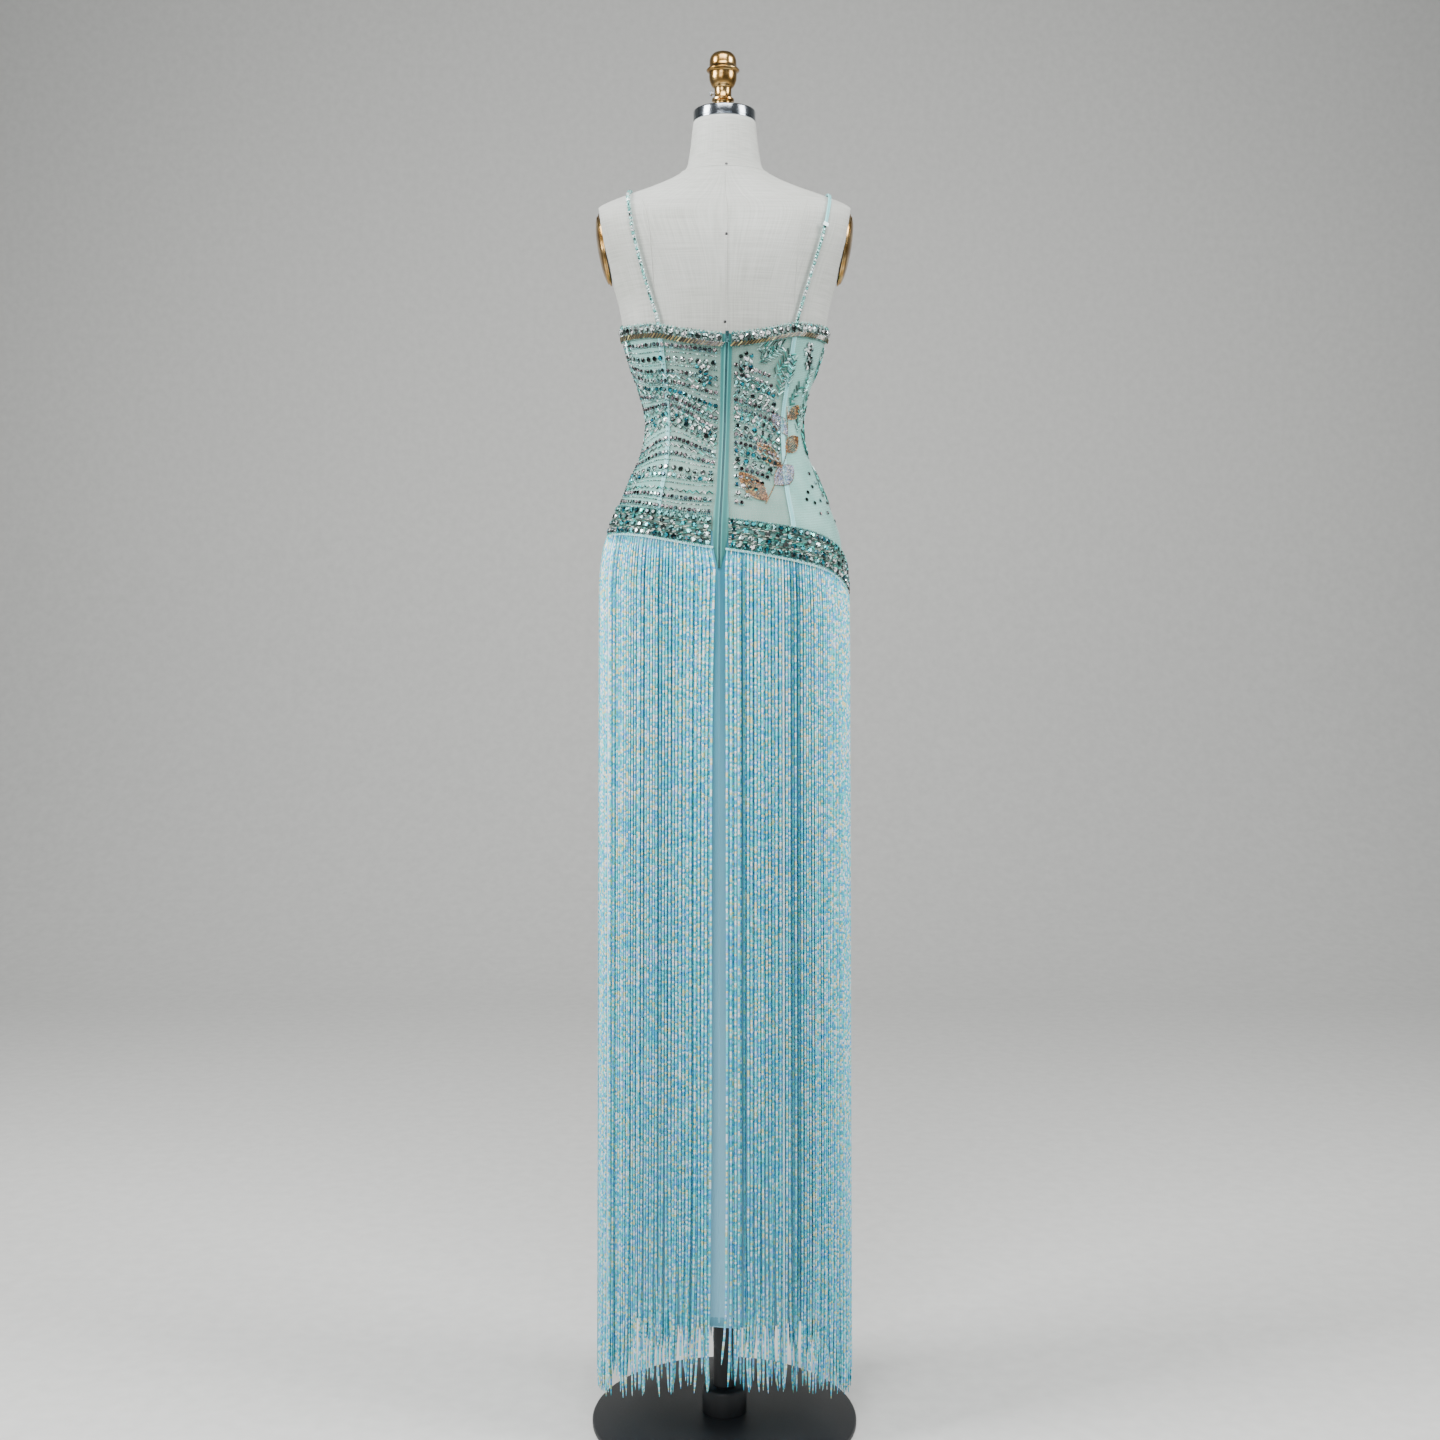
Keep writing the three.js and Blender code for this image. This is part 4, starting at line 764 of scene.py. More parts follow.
def back_left(z):
    return angle_at(along(BACK_PRINCESS, z)[..., 0], z, SKIRT)


def back_right(z):
    return angle_at(along(BACK_PRINCESS, z)[..., 1], z, SKIRT)


def front_right(z):
    return angle_at(along(FRONT_PRINCESS, z)[..., 0], z, SKIRT, front=True)


def front_left(z):
    return -front_right(z)


def net(name, cover, colours):
    """Polyester net: six-sided holes a little over a millimetre across, drawn 2.2 mm across so that
    they show, between threads of the given colours. cover is how much the thread hides on average."""
    material, tree, cloth, _ = new_material(name)
    holes = add(tree, "TexVoronoi", Vector=cloth, Scale=460.0, Randomness=0.25, voronoi_dimensions="2D",
                feature="DISTANCE_TO_EDGE")
    opaque = add(tree, "MapRange", Value=holes.outputs["Distance"], From_Min=0.05, From_Max=0.3,
                 To_Min=min(cover + 0.35, 1), To_Max=max(cover - 0.2, 0))
    uneven = add(tree, "TexNoise", Vector=cloth, Scale=30.0, Detail=3.0, noise_dimensions="2D")
    colour = add(tree, "ValToRGB", Fac=uneven.outputs[0], stops=[(0.3, colours[0]), (0.7, colours[1])])
    shader = add(tree, "BsdfPrincipled", Base_Color=colour, Roughness=0.65, Sheen_Weight=0.3, Alpha=opaque)
    add(tree, "OutputMaterial", Surface=shader)
    return material


sheer = net("single_net", 0.4, ("#6FA89B", "#86B9AC"))
lined = net("double_net", 0.58, ("#74B8AD", "#90CBC1"))
share = np.linspace(0, 1, 41)
PANELS = [("back_left", back_left, centre_back, 24, sheer),
          ("back_right", centre_back, back_right, 24, sheer),
          ("side_back_right", back_right, side_right, 20, lined),
          ("side_front_right", side_right, front_right, 20, lined),
          ("front", front_right, front_left, 44, sheer),
          ("side_front_left", front_left, side_left, 20, lined),
          ("side_back_left", side_left, back_left, 20, lined)]
for name, start, end, columns, cloth in PANELS:
    piece, flat, area = panel("net_" + name, start, end, join, top_edge, on_form, columns, share, NET_OUT)
    dress_up(piece, cloth, "net", "bodice_" + name)


# Boning casings
#
# Pale aqua satin ribbon, 6.5 mm wide, stitched down both edges over the princess seams, with a
# spiral bone inside that rounds it.

def strip_on_seam(name, seam, lower, upper, offsets, lifts, rows=60):
    """A strip that follows a seam: at each of its offsets across, in millimetres, it has a lift."""
    share = np.linspace(0, 1, rows)
    middle = seam_angle(seam, lower, upper, share)
    z0 = lower(middle) * (1 - share) + upper(middle) * share
    chord = np.linalg.norm(on_form(middle + 0.01, z0) - on_form(middle - 0.01, z0), axis=-1)
    offset = offsets(z0) if callable(offsets) else np.broadcast_to(offsets, (rows, len(offsets)))
    angle = middle[:, None] + offset * (0.02 / chord)[:, None]
    z = lower(angle) * (1 - share[:, None]) + upper(angle) * share[:, None]
    points = on_form(angle, z, np.asarray(lifts))
    uv = np.stack([offset / 1000, z / 1000], -1)
    return surface(name, points, uv=uv)


def under_trim(angle):
    return top_edge(angle) - 17.0


def over_band(angle):
    return band_upper(angle) - 1.0


# Places across the casing, and how far they stand off the form
casing_across = np.array([-3.25, -3.0, -2.3, -1.2, 0, 1.2, 2.3, 3.0, 3.25])
casing_lift = np.array([2.9, 3.5, 3.6, 4.2, 4.5, 4.2, 3.6, 3.5, 2.9])

# Ribbon satin over bones: pale, with a soft shine and a row of stitches near each edge
ribbon_satin, tree, cloth, _ = new_material("ribbon_satin")
split = add(tree, "SeparateXYZ", Vector=cloth)
from_middle = add(tree, "Math", operation="ABSOLUTE", in0=split.outputs["X"])
in_row = add(tree, "Math", operation="COMPARE", in0=from_middle, in1=0.0026, in2=0.00035)
stitch = add(tree, "Math", operation="FRACT",
             in0=add(tree, "Math", operation="MULTIPLY", in0=split.outputs["Y"], in1=380.0))
stitched = add(tree, "Math", operation="MULTIPLY", in0=in_row,
               in1=add(tree, "Math", operation="GREATER_THAN", in0=stitch, in1=0.35))
shine = add(tree, "TexNoise", Vector=add(tree, "Mapping", Vector=cloth, Scale=(300, 30, 1)), Scale=1.0,
            Detail=2.0, noise_dimensions="2D")
base = add(tree, "ValToRGB", Fac=shine.outputs[0], stops=[(0.3, "#6FB9BB"), (0.7, "#8CCDCE")])
colour = add(tree, "Mix", data_type="RGBA", in0=stitched, in6=base, in7="#B4E2E0")
bump = add(tree, "Bump", Height=stitched, Strength=0.4, Distance=0.0003)
shader = add(tree, "BsdfPrincipled", Base_Color=colour.outputs[2], Roughness=0.45, Sheen_Weight=0.2,
             Normal=bump)
add(tree, "OutputMaterial", Surface=shader)
SEAMS = {"back_left": back_left, "back_right": back_right, "front_right": front_right,
         "front_left": front_left}
for name, seam in SEAMS.items():
    piece = strip_on_seam("boning_" + name, seam, over_band, under_trim, casing_across, casing_lift)
    dress_up(piece, ribbon_satin, "satin_tape", "casing_" + name)


# Zip
#
# An invisible zip down the centre back: two woven tapes whose folded edges meet over the coil, so
# only a dark line shows. The slider sits at the top with its drop-shaped pull hanging.

# Height, and how far the tapes' woven edges lie from the middle
ZIP_EDGE = np.array([(1130, 0.9), (1150, 2.6), (1164, 6.4), (1180, 8.4), (1192, 9.6), (1215, 9.6),
                     (1250, 7.4), (1470, 7.4)], float)


def zip_bottom(angle):
    return np.full_like(angle, 1146.0)


def trim_line(angle):
    return top_edge(angle) - 1.0


# Shares of a tape's width from the coil outwards, and how far they stand off the form
tape_share = np.array([0, 0.06, 0.14, 0.22, 0.32, 0.5, 0.75, 0.95, 1])
tape_lift = np.array([3.6, 4.6, 4.9, 4.6, 4.0, 3.8, 3.8, 3.7, 3.3])

# Zip tape: dyed polyester, deeper aqua by the coil and paler at its woven edge. Next to the coil it is
# painted near black with a paler line beside it: painted shade for the slit and a painted highlight
zip_cloth, tree, cloth, _ = new_material("zip_tape_polyester")
split = add(tree, "SeparateXYZ", Vector=cloth)
from_middle = add(tree, "MapRange", From_Max=0.0085,
                  Value=add(tree, "Math", operation="ABSOLUTE", in0=split.outputs["X"]))
# Painted shade: near black within 1.4 mm of the middle; painted highlight: the pale stop at 1.9 mm
base = add(tree, "ValToRGB", Fac=from_middle, stops=[
    (0.0, "#021D20"), (0.16, "#06393E"), (0.22, "#4BA7A1"), (0.33, "#267875"), (0.55, "#1B6664"),
    (0.8, "#256F6C"), (1.0, "#43918A")])
twill = add(tree, "TexWave", Vector=cloth, wave_type="BANDS", bands_direction="DIAGONAL", Scale=260.0)
bump = add(tree, "Bump", Height=twill.outputs["Fac"], Strength=0.2, Distance=0.0002)
shader = add(tree, "BsdfPrincipled", Base_Color=base, Roughness=0.6, Sheen_Weight=0.2, Normal=bump)
add(tree, "OutputMaterial", Surface=shader)
for name, side in [("left", -1), ("right", 1)]:
    def offsets(z, side=side):
        wide = along(ZIP_EDGE, z)
        across = side * (0.35 + (wide - 0.35) * tape_share[None])
        return across if side > 0 else across[:, ::-1]
    lift = tape_lift if side > 0 else tape_lift[::-1]
    piece = strip_on_seam("zip_cloth_" + name, centre_back, zip_bottom, trim_line, offsets, lift, 90)
    dress_up(piece, zip_cloth, "zip_tape", "zip_tape_" + name)

# Nylon coil behind the meeting edges, dark in the slit
coil, tree, _, place = new_material("nylon_coil")
teeth = add(tree, "TexWave", Vector=place, wave_type="BANDS", bands_direction="Z", Scale=210.0)
colour = add(tree, "ValToRGB", Fac=teeth.outputs["Fac"], stops=[(0.2, "#123B40"), (0.8, "#2A6E74")])
shader = add(tree, "BsdfPrincipled", Base_Color=colour, Roughness=0.4)
add(tree, "OutputMaterial", Surface=shader)
piece = strip_on_seam("zip_coil", centre_back, zip_bottom, trim_line, np.array([-0.9, -0.45, 0.45, 0.9]),
                      np.array([3.9, 4.35, 4.35, 3.9]), 90)
dress_up(piece, coil, "enamel")

# Enamelled zinc: slider and pull are dyed to match, with brighter chips here and there
enamel, tree, _, place = new_material("teal_enamel")
chips = add(tree, "TexNoise", Vector=place, Scale=500.0, Detail=3.0)
colour = add(tree, "ValToRGB", Fac=chips.outputs[0],
             stops=[(0.4, "#12383C"), (0.62, "#1F4A4D"), (0.75, "#4E7F82")])
gloss = add(tree, "MapRange", Value=chips.outputs[0], To_Min=0.15, To_Max=0.4)
shader = add(tree, "BsdfPrincipled", Base_Color=colour, Roughness=gloss, Metallic=0.35)
add(tree, "OutputMaterial", Surface=shader)


def paint(node, material):
    """Gives a small CAD node its material: its solid is the visible piece."""
    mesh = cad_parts[node].data
    mesh.materials.clear()
    mesh.materials.append(material)


paint("zip_slider", enamel)
paint("zip_pull", enamel)


# Stones and beads
#
# Foil-backed glass stones, glass bugles and seed beads, sewn through the net one by one. Each
# facet is painted dark, plain or bright: painted shade and painted glints for the light that it
# throws back.

def foiled_glass(name, metallic, roughness):
    """Glass with a silver foil behind it: bright, with hard highlights, in each facet's painted tint:
    the bead's own colour with painted shade and painted glints.
    """
    material, tree, _, place = new_material(name)
    tint = add(tree, "Attribute", attribute_name="tint")
    fleck = add(tree, "TexNoise", Vector=place, Scale=800.0)
    light = add(tree, "MapRange", Value=fleck.outputs[0], To_Min=0.75, To_Max=1.2)
    colour = add(tree, "VectorMath", operation="SCALE", in0=tint.outputs["Color"], Scale=light)
    shader = add(tree, "BsdfPrincipled", Base_Color=colour, Metallic=metallic, Roughness=roughness,
                 Coat_Weight=0.3, Coat_Roughness=0.05, Specular_IOR_Level=0.4)
    add(tree, "OutputMaterial", Surface=shader)
    return material


stone_glass = foiled_glass("foiled_stone_glass", 0.35, 0.15)
bead_glass = foiled_glass("lined_bead_glass", 0.1, 0.28)

SILVER = ["#DDEEEA", "#9DBBB6", "#4B6B6C", "#16211F", "#C6DFDA"]
TEAL = ["#11707C", "#2F9DA4", "#0A434D", "#74CCCB", "#17586E"]
BRONZE = ["#564E54", "#857B81", "#272326", "#A99FA0", "#3C4A50"]
AQUA = ["#4DB5A6", "#86D6CA", "#2B8A7F", "#B6E8E0"]
GOLD = ["#A8713A", "#7C4A24", "#CC9A5C", "#4E2F1A", "#BC8150"]
OLD_GOLD = ["#8C7A4A", "#B8A468", "#6C6038"]
GREY = ["#9DB3A6", "#5B756C", "#CFDCCB", "#38504A"]
PALE = ["#D4F2EE", "#9ADCD2", "#EAF8F6", "#6FBFB6"]
IVORY = ["#DDE0F4", "#B0BAE6", "#F2ECE0", "#8E9ACC"]

STONE = cut_stone()
SEED = (np.array([(1, 0, .6), (0, 1, .6), (-1, 0, .6), (0, -1, .6), (0, 0, 1.3), (0, 0, 0)], float),
        np.array([(0, 1, 4), (1, 2, 4), (2, 3, 4), (3, 0, 4), (1, 0, 5), (2, 1, 5), (3, 2, 5), (0, 3, 5)]))
BUGLE = (np.array([(x, y, z) for x in (-1, 1) for y, z in ((-1, .7), (0, 0), (1, .7), (0, 1.6))], float),
         np.array([(0, 1, 5), (0, 5, 4), (1, 2, 6), (1, 6, 5), (2, 3, 7), (2, 7, 6), (3, 0, 4), (3, 4, 7),
                   (0, 3, 2), (0, 2, 1), (4, 5, 6), (4, 6, 7)]))


def turned_in_plane(axes, turn):
    """The same directions after a turn about the outward one."""
    cos, sin = np.cos(turn)[:, None], np.sin(turn)[:, None]
    across = axes[:, 0] * cos + axes[:, 1] * sin
    return np.stack([across, axes[:, 1] * cos - axes[:, 0] * sin, axes[:, 2]], -2)


def run_length(points):
    """The length along a line of points, at each of them."""
    return np.concatenate([[0], np.cumsum(np.linalg.norm(np.diff(points, axis=0), axis=1))])


def spaced(angle, z, spacing, point=on_form):
    """Even places along a line given by many angles and heights: the line's length is summed, and
    angle and height are read off at equal lengths."""
    length = run_length(point(angle, z, 0.0))
    count = max(int(length[-1] / spacing), 1)
    at = (np.arange(count) + 0.5) * length[-1] / count
    return np.interp(at, length, angle), np.interp(at, length, z)


def row_of(angle, z, spacing, out, size, colours, contrast, turn=0.0, point=on_form):
    """A row of beads on a line, at one lift or at a lift worked out for each place; an alternating
    turn lays them in a zigzag."""
    a, h = spaced(angle, z, spacing, point)
    place, axes = frames(a, h, out(a, h) if callable(out) else out, point)
    turns = np.broadcast_to(np.resize(np.atleast_1d(turn), len(a)), len(a)).astype(float)
    return place, turned_in_plane(axes, turns), size, colours, contrast


def put_beads(part, slot, seed, stones, bugles, seeds):
    """The beads of one part of the dress: each kind that it has is one piece, with a seed of its own."""
    for kind, shape, glass, group in [("_stones", STONE, stone_glass, stones),
                                      ("_bugles", BUGLE, bead_glass, bugles),
                                      ("_seeds", SEED, bead_glass, seeds)]:
        if group:
            dress_up(sewn(part + kind, shape, group, seed), glass, slot)
            seed += 1


# Hip band
#
# A net band about 39 mm deep, covered in rows of large teal and silver stones between lines of
# bugles. It falls aslant to the wearer's right hip, and a bead picot runs along its lower edge.

band_net = net("band_net", 0.92, ("#1F5551", "#4A8079"))
stones, bugles, seeds = [], [], []
# Each row: its beads, share of the band's depth, spacing, lift, half sizes, colours, facet contrast
BAND_ROWS = [(stones, at, gap, 4.6, (size, size, size * 0.95), tones, 1.25) for at, gap, size, tones in [
    (0.88, 9.0, 4.2, TEAL[1:4] + AQUA[:2]), (0.63, 14.0, 4.0, SILVER[:3] + TEAL[1:2]),
    (0.38, 11.2, 4.3, SILVER[:2] + TEAL[1:4]), (0.12, 8.8, 4.0, TEAL[:4] + SILVER[:2])]]
BAND_ROWS += [(bugles, at, gap, 4.7, (gap * 0.45, 0.9, 0.9), GREY + AQUA[:1], 0.5) for at, gap in [
    (0.76, 4.6), (0.7, 5.0), (0.55, 4.6), (0.5, 5.2), (0.45, 4.8), (0.3, 5.0), (0.24, 4.6), (0.19, 4.4)]]
BAND_ROWS += [(seeds, at, gap, 4.2, (1.1, 1.1, 1.1), AQUA + TEAL[:2], 0.35) for at, gap in [
    (1.0, 2.4), (0.0, 2.2), (-0.04, 2.2)]]
BAND_PARTS = [("left", np.pi, 2 * np.pi + float(angle_at(np.array(-17.0), np.array(1190.0), SKIRT))),
              ("right", float(angle_at(np.array(4.6), np.array(1190.0), SKIRT)), np.pi)]
for name, start, end in BAND_PARTS:
    angle = np.linspace(start, end, 200)
    low, high = band_lower(angle), band_upper(angle)
    share = np.linspace(0, 1, 9)[:, None]
    z = low * (1 - share) + high * share
    lift = np.array([3.7, 4.6, 4.8, 4.8, 4.8, 4.8, 4.8, 4.6, 3.7])[:, None]
    points = on_band(angle[None], z, lift)
    uv = stacked(angle[None] * 0.15, z / 1000)
    dress_up(surface("band_net_" + name, points, uv=uv), band_net, "bead_band", "hip_band_" + name)
    for group, at, gap, out, size, tones, contrast in BAND_ROWS:
        line = low * (1 - at) + high * at
        group.append(row_of(angle, line, gap, out, size, tones, contrast, point=on_band))
put_beads("band", "bead_band", 11, stones, bugles, seeds)


# Top trim
#
# Aqua braid, 18 mm deep, round the top edge. It carries a row of large silver stones over a row
# of slanted gold bugles, and a picot of small aqua beads along its edge.

braid_net = net("braid_net", 0.9, ("#38554F", "#6A8F86"))
stones, bugles, seeds = [], [], []
zip_top = float(angle_at(np.array(3.3), np.array(1452.0)))
# Each row: its beads, distance below the top edge, spacing, lift, half sizes, colours, facet contrast
TRIM_ROWS = [
    (stones, 5.8, 8.6, 4.9, (4.1, 4.1, 3.7), SILVER[:1] + SILVER, 1.25),
    (stones, 10.6, 3.4, 4.8, (1.3, 1.3, 1.3), SILVER + BRONZE[2:3], 0.9),
    (stones, 1.4, 3.6, 4.6, (1.4, 1.4, 1.4), SILVER + TEAL[:2], 0.9),
    (seeds, -0.4, 2.6, 3.2, (1.2, 1.2, 1.2), AQUA, 0.3),
    (seeds, -1.9, 5.2, 3.0, (1.0, 1.0, 1.0), AQUA, 0.3),
    (seeds, 17.2, 2.2, 4.2, (1.0, 1.0, 1.0), AQUA, 0.3),
]
# The braid parts 4.8 mm to each side of the zip, with 150 mm to a radian
part = 4.8 / 150
for name, start, end in [("left", np.pi, 2 * np.pi + zip_top - part), ("right", zip_top + part, np.pi)]:
    angle = np.linspace(start, end, 200)
    high = top_edge(angle)
    depth = np.array([-18, -17.4, -12, -9.5, -6, -1.5, 0.0])[:, None]
    lift = np.array([3.0, 4.6, 4.8, 4.8, 5.0, 5.0, 2.4])[:, None]
    points = on_form(angle[None], high + depth, lift)
    uv = stacked(angle[None] * 0.12, (high + depth) / 1000)
    dress_up(surface("trim_braid_" + name, points, uv=uv), braid_net, "crystal_trim", "top_trim_" + name)
    for group, below, gap, out, size, tones, contrast in TRIM_ROWS:
        group.append(row_of(angle, high - below, gap, out, size, tones, contrast))
    # Slanted bugles 2.8 mm apart, light and dark in turn. They are drawn 4.4 mm apart so that they show
    for shift, tones in ((0, OLD_GOLD), (2.2 / 150, BRONZE[2:3] + GREY[3:])):
        bugles.append(row_of(angle + shift, high - 14.2, 4.4, 4.9, (3.9, 0.95, 0.9), tones, 0.4, 0.8))
put_beads("trim", "crystal_trim", 21, stones, bugles, seeds)


# Straps
#
# Beaded cords, 4.4 mm thick, over each shoulder: stones sewn close along a satin cord with pale
# seed beads at both sides. The right one ends near the shoulder in a keeper and goes on as plain cord.

# Height, and x of the straps: left and right on the back, left and right on the front
STRAP_LINES = np.array([(1466, -84, 91, -78, 78), (1530, -103, 110, -92, 93), (1586, -118, 127, -110, 114),
                        (1636, -127, 138, -123, 134)], float)


def depth_at(x, z, front):
    """How far the form reaches before or behind the middle plane."""
    half, back, before, square = np.moveaxis(along(FORM, z), -1, 0)
    share = np.clip(1 - (np.abs(x) / half) ** square, 0, None)
    return np.where(front, before, back) * share ** (1 / square)


def strap_route(back_column, front_column):
    """The cord's line on the skin: up the back, over the shoulder, where the height is found by
    halving, and down the front; then smoothed."""
    def climb(column, front, start):
        z = np.linspace(start, 1636, 30)
        x = along(STRAP_LINES, z)[:, column]
        return np.stack([x, depth_at(x, z, front) * (1 if front else -1), z], -1)

    side = np.sign(STRAP_LINES[0, back_column + 1])
    top = []
    for column, front in ((back_column, False), (front_column, True)):
        foot = angle_at(np.array(STRAP_LINES[0, column + 1]), np.array(1480.0), front=front)
        top.append(float(top_edge(side * np.abs(foot))))
    back, front = climb(back_column, False, top[0] - 4), climb(front_column, True, top[1] - 4)[::-1]
    share = np.linspace(0, 1, 18)[1:-1, None]
    over = back[-1] * (1 - share) + front[0] * share
    low, high = np.full(len(over), 1600.0), np.full(len(over), 1690.0)
    for _ in range(24):
        middle = (low + high) / 2
        deeper = depth_at(over[:, 0], middle, over[:, 1] > 0) > np.abs(over[:, 1])
        low, high = np.where(deeper, middle, low), np.where(deeper, high, middle)
    over[:, 2] = low
    line = np.concatenate([back, over, front])
    for _ in range(3):
        line[1:-1] = (line[:-2] + 2 * line[1:-1] + line[2:]) / 4
    return line


def skin_ratio(point):
    """One on the skin and more outside it: x by the half width and y by the depth, each to the power
    of the squareness, added up."""
    half, back, before, square = np.moveaxis(along(FORM, point[:, 2]), -1, 0)
    depth = np.where(point[:, 1] < 0, back, before)
    return (np.abs(point[:, 0]) / half) ** square + (np.abs(point[:, 1]) / depth) ** square


def outward_at(line):
    """The skin's outward direction, from how the section ratio grows along each axis."""
    slope = np.stack([skin_ratio(line + step) - skin_ratio(line - step) for step in np.eye(3)], -1)
    return slope / np.linalg.norm(slope, axis=1, keepdims=True)


def cord(name, line, outward, radius, sides=10):
    """A round cord, with its directions: a circle carried along a line, set by the skin's outward one."""
    run = np.gradient(line, axis=0)
    run /= np.linalg.norm(run, axis=1, keepdims=True)
    across = np.cross(run, outward)
    across /= np.linalg.norm(across, axis=1, keepdims=True)
    rise = np.cross(across, run)
    turn = circle(sides)[:, None]
    points = line[:, None] + radius * (np.cos(turn) * across[:, None] + np.sin(turn) * rise[:, None])
    length = np.cumsum(np.linalg.norm(np.gradient(line, axis=0), axis=1)) / 1000
    uv = stacked(np.linspace(0, 0.014, sides + 1)[None], length[:, None])
    return surface(name, points[:, ::-1], closed=True, uv=uv), across, rise


def along_cord(line, spacing):
    """Even places on a line of points, counted in its points and parts of them."""
    length = run_length(line)
    at = np.arange(spacing / 2, length[-1], spacing)
    return np.interp(at, length, np.arange(len(line)))


def pick(values, at):
    """Values read off between rows."""
    low = np.floor(at).astype(int)
    share = (at - low)[:, None]
    return values[low] * (1 - share) + values[np.minimum(low + 1, len(values) - 1)] * share


stones, bugles, seeds = [], [], []
for name, back_column, front_column in [("left", 0, 2), ("right", 1, 3)]:
    skin = strap_route(back_column, front_column)
    outward = outward_at(skin)
    line = skin + outward * 3.5
    piece, across, rise = cord("strap_cord_" + name, line, outward, 1.35)
    dress_up(piece, ribbon_satin, "crystal_trim", "strap_" + name)
    axes = np.stack([across, np.cross(rise, across), rise], 1)
    # The right strap is bare between the keeper and the front of the shoulder
    bare_from = 1594 if name == "right" else np.inf
    for at, sideways, up, size, tones, contrast, group in [
            (along_cord(line, 4.2), 0, 0.9, (2.4, 2.4, 2.2), PALE + AQUA[1:2], 0.5, stones),
            (along_cord(line, 3.0), 1.9, 0.2, (1.3, 1.3, 1.1), PALE, 0.3, seeds),
            (along_cord(line, 3.0), -1.9, 0.2, (1.3, 1.3, 1.1), PALE, 0.3, seeds)]:
        place = pick(line + across * sideways + rise * up, at)
        keep = (place[:, 2] <= bare_from) | (place[:, 1] >= 40)
        basis = np.stack([pick(axes[:, k], at) for k in range(3)], 1)
        group.append((place[keep], basis[keep], size, tones, contrast))
    if name == "right":
        high = skin[:, 2] > 1592
        twin = cord("strap_twin_right", line[high] + across[high] * 2.2, outward[high], 1.1)[0]
        dress_up(twin, ribbon_satin, "crystal_trim")
put_beads("strap", "crystal_trim", 31, stones, bugles, seeds)

# The keeper is brushed nickel, so it shows light where polished chrome would show dark
nickel, tree, _, place = new_material("brushed_nickel")
brushed = add(tree, "TexNoise", Vector=place, Scale=900.0)
gloss = add(tree, "MapRange", Value=brushed.outputs[0], To_Min=0.4, To_Max=0.6)
shader = add(tree, "BsdfPrincipled", Base_Color="#D5E4E4", Metallic=0.55, Roughness=gloss)
add(tree, "OutputMaterial", Surface=shader)
paint("strap_keeper_right", nickel)


# Bead embroidery of the bodice
#
# Rows of stones, bugles and seed beads sweep in long waves over the net on the left and the front.
# Right of the zip they lie aslant and close; a spray of gold and ivory leaves climbs the seam there,
# with aqua sprigs and loose stones in the open net.

# A radian is about 125 mm of the bodice's girth
ARC = 125


def laid(angle, z):
    """Beads lie 2.6 mm out, on the net, and ride up by 2.1 mm where they cross a boning casing."""
    lift = np.full(np.shape(angle), 2.6)
    for seam in SEAMS.values():
        away = (angle - seam(z) + np.pi) % (2 * np.pi) - np.pi
        lift = lift + 2.1 * np.exp(-(away * ARC / 4) ** 4)
    return lift


def height(angle, share):
    """The height that lies a share of the way from the band's upper edge to the trim."""
    return (band_upper(angle) + 3) * (1 - share) + (top_edge(angle) - 20) * share


def waved(angle, share):
    """A row's height: its share of the way up waves slowly, and more so in the middle."""
    wave = 0.045 * np.sin(2.3 * angle + 7 * share) + 0.02 * np.sin(5.1 * angle - 3 * share)
    return height(angle, np.clip(share + wave * np.sin(np.pi * share) ** 0.5, 0, 1))


stones, bugles, seeds = [], [], []
# Stones have small dark beads beside them; bugles lie in a zigzag. Each kind of row: its beads,
# distance below the line, spacing, half sizes, colours, facet contrast and turn
ROW_KINDS = {
    "bronze": [(stones, 0, 6.2, (3.0, 3.0, 2.5), BRONZE + SILVER[1:3], 1.2, 0),
               (seeds, 3.5, 2.6, (1.1, 1.1, 1.0), BRONZE[2:3] + TEAL, 0.6, 0)],
    "teal": [(stones, 0, 7.0, (3.4, 3.4, 2.7), TEAL + SILVER[:3], 1.2, 0),
             (seeds, 3.9, 2.6, (1.1, 1.1, 1.0), AQUA, 0.6, 0)],
    "silver": [(stones, 0, 9.8, (3.9, 3.9, 3.1), SILVER + TEAL[:1], 1.2, 0),
               (seeds, 4.6, 2.9, (1.2, 1.2, 1.1), AQUA + GREY[:2], 0.8, 0)],
    "zigzag": [(bugles, 0, 4.2, (3.2, 1.0, 1.0), AQUA + SILVER[:2], 0.9, [0.7, -0.7])],
    "seed": [(seeds, 0, 3.0, (1.4, 1.2, 1.2), AQUA + TEAL[2:3] + SILVER[:1], 0.9, 0)],
}


def bead_row(kind, angle, z):
    """One row of the embroidery along a line."""
    for group, below, gap, size, tones, contrast, turn in ROW_KINDS[kind]:
        group.append(row_of(angle, z - below, gap, laid, size, tones, contrast, turn))


def sew(group, angle, z, size, tones, contrast, turn=0.0, lift=0.0):
    """Beads of one size at single places on the net, turned in its plane."""
    place, axes = frames(angle, z, laid(angle, z) + lift)
    group.append((place, turned_in_plane(axes, np.full(len(place), turn)), size, tones, contrast))


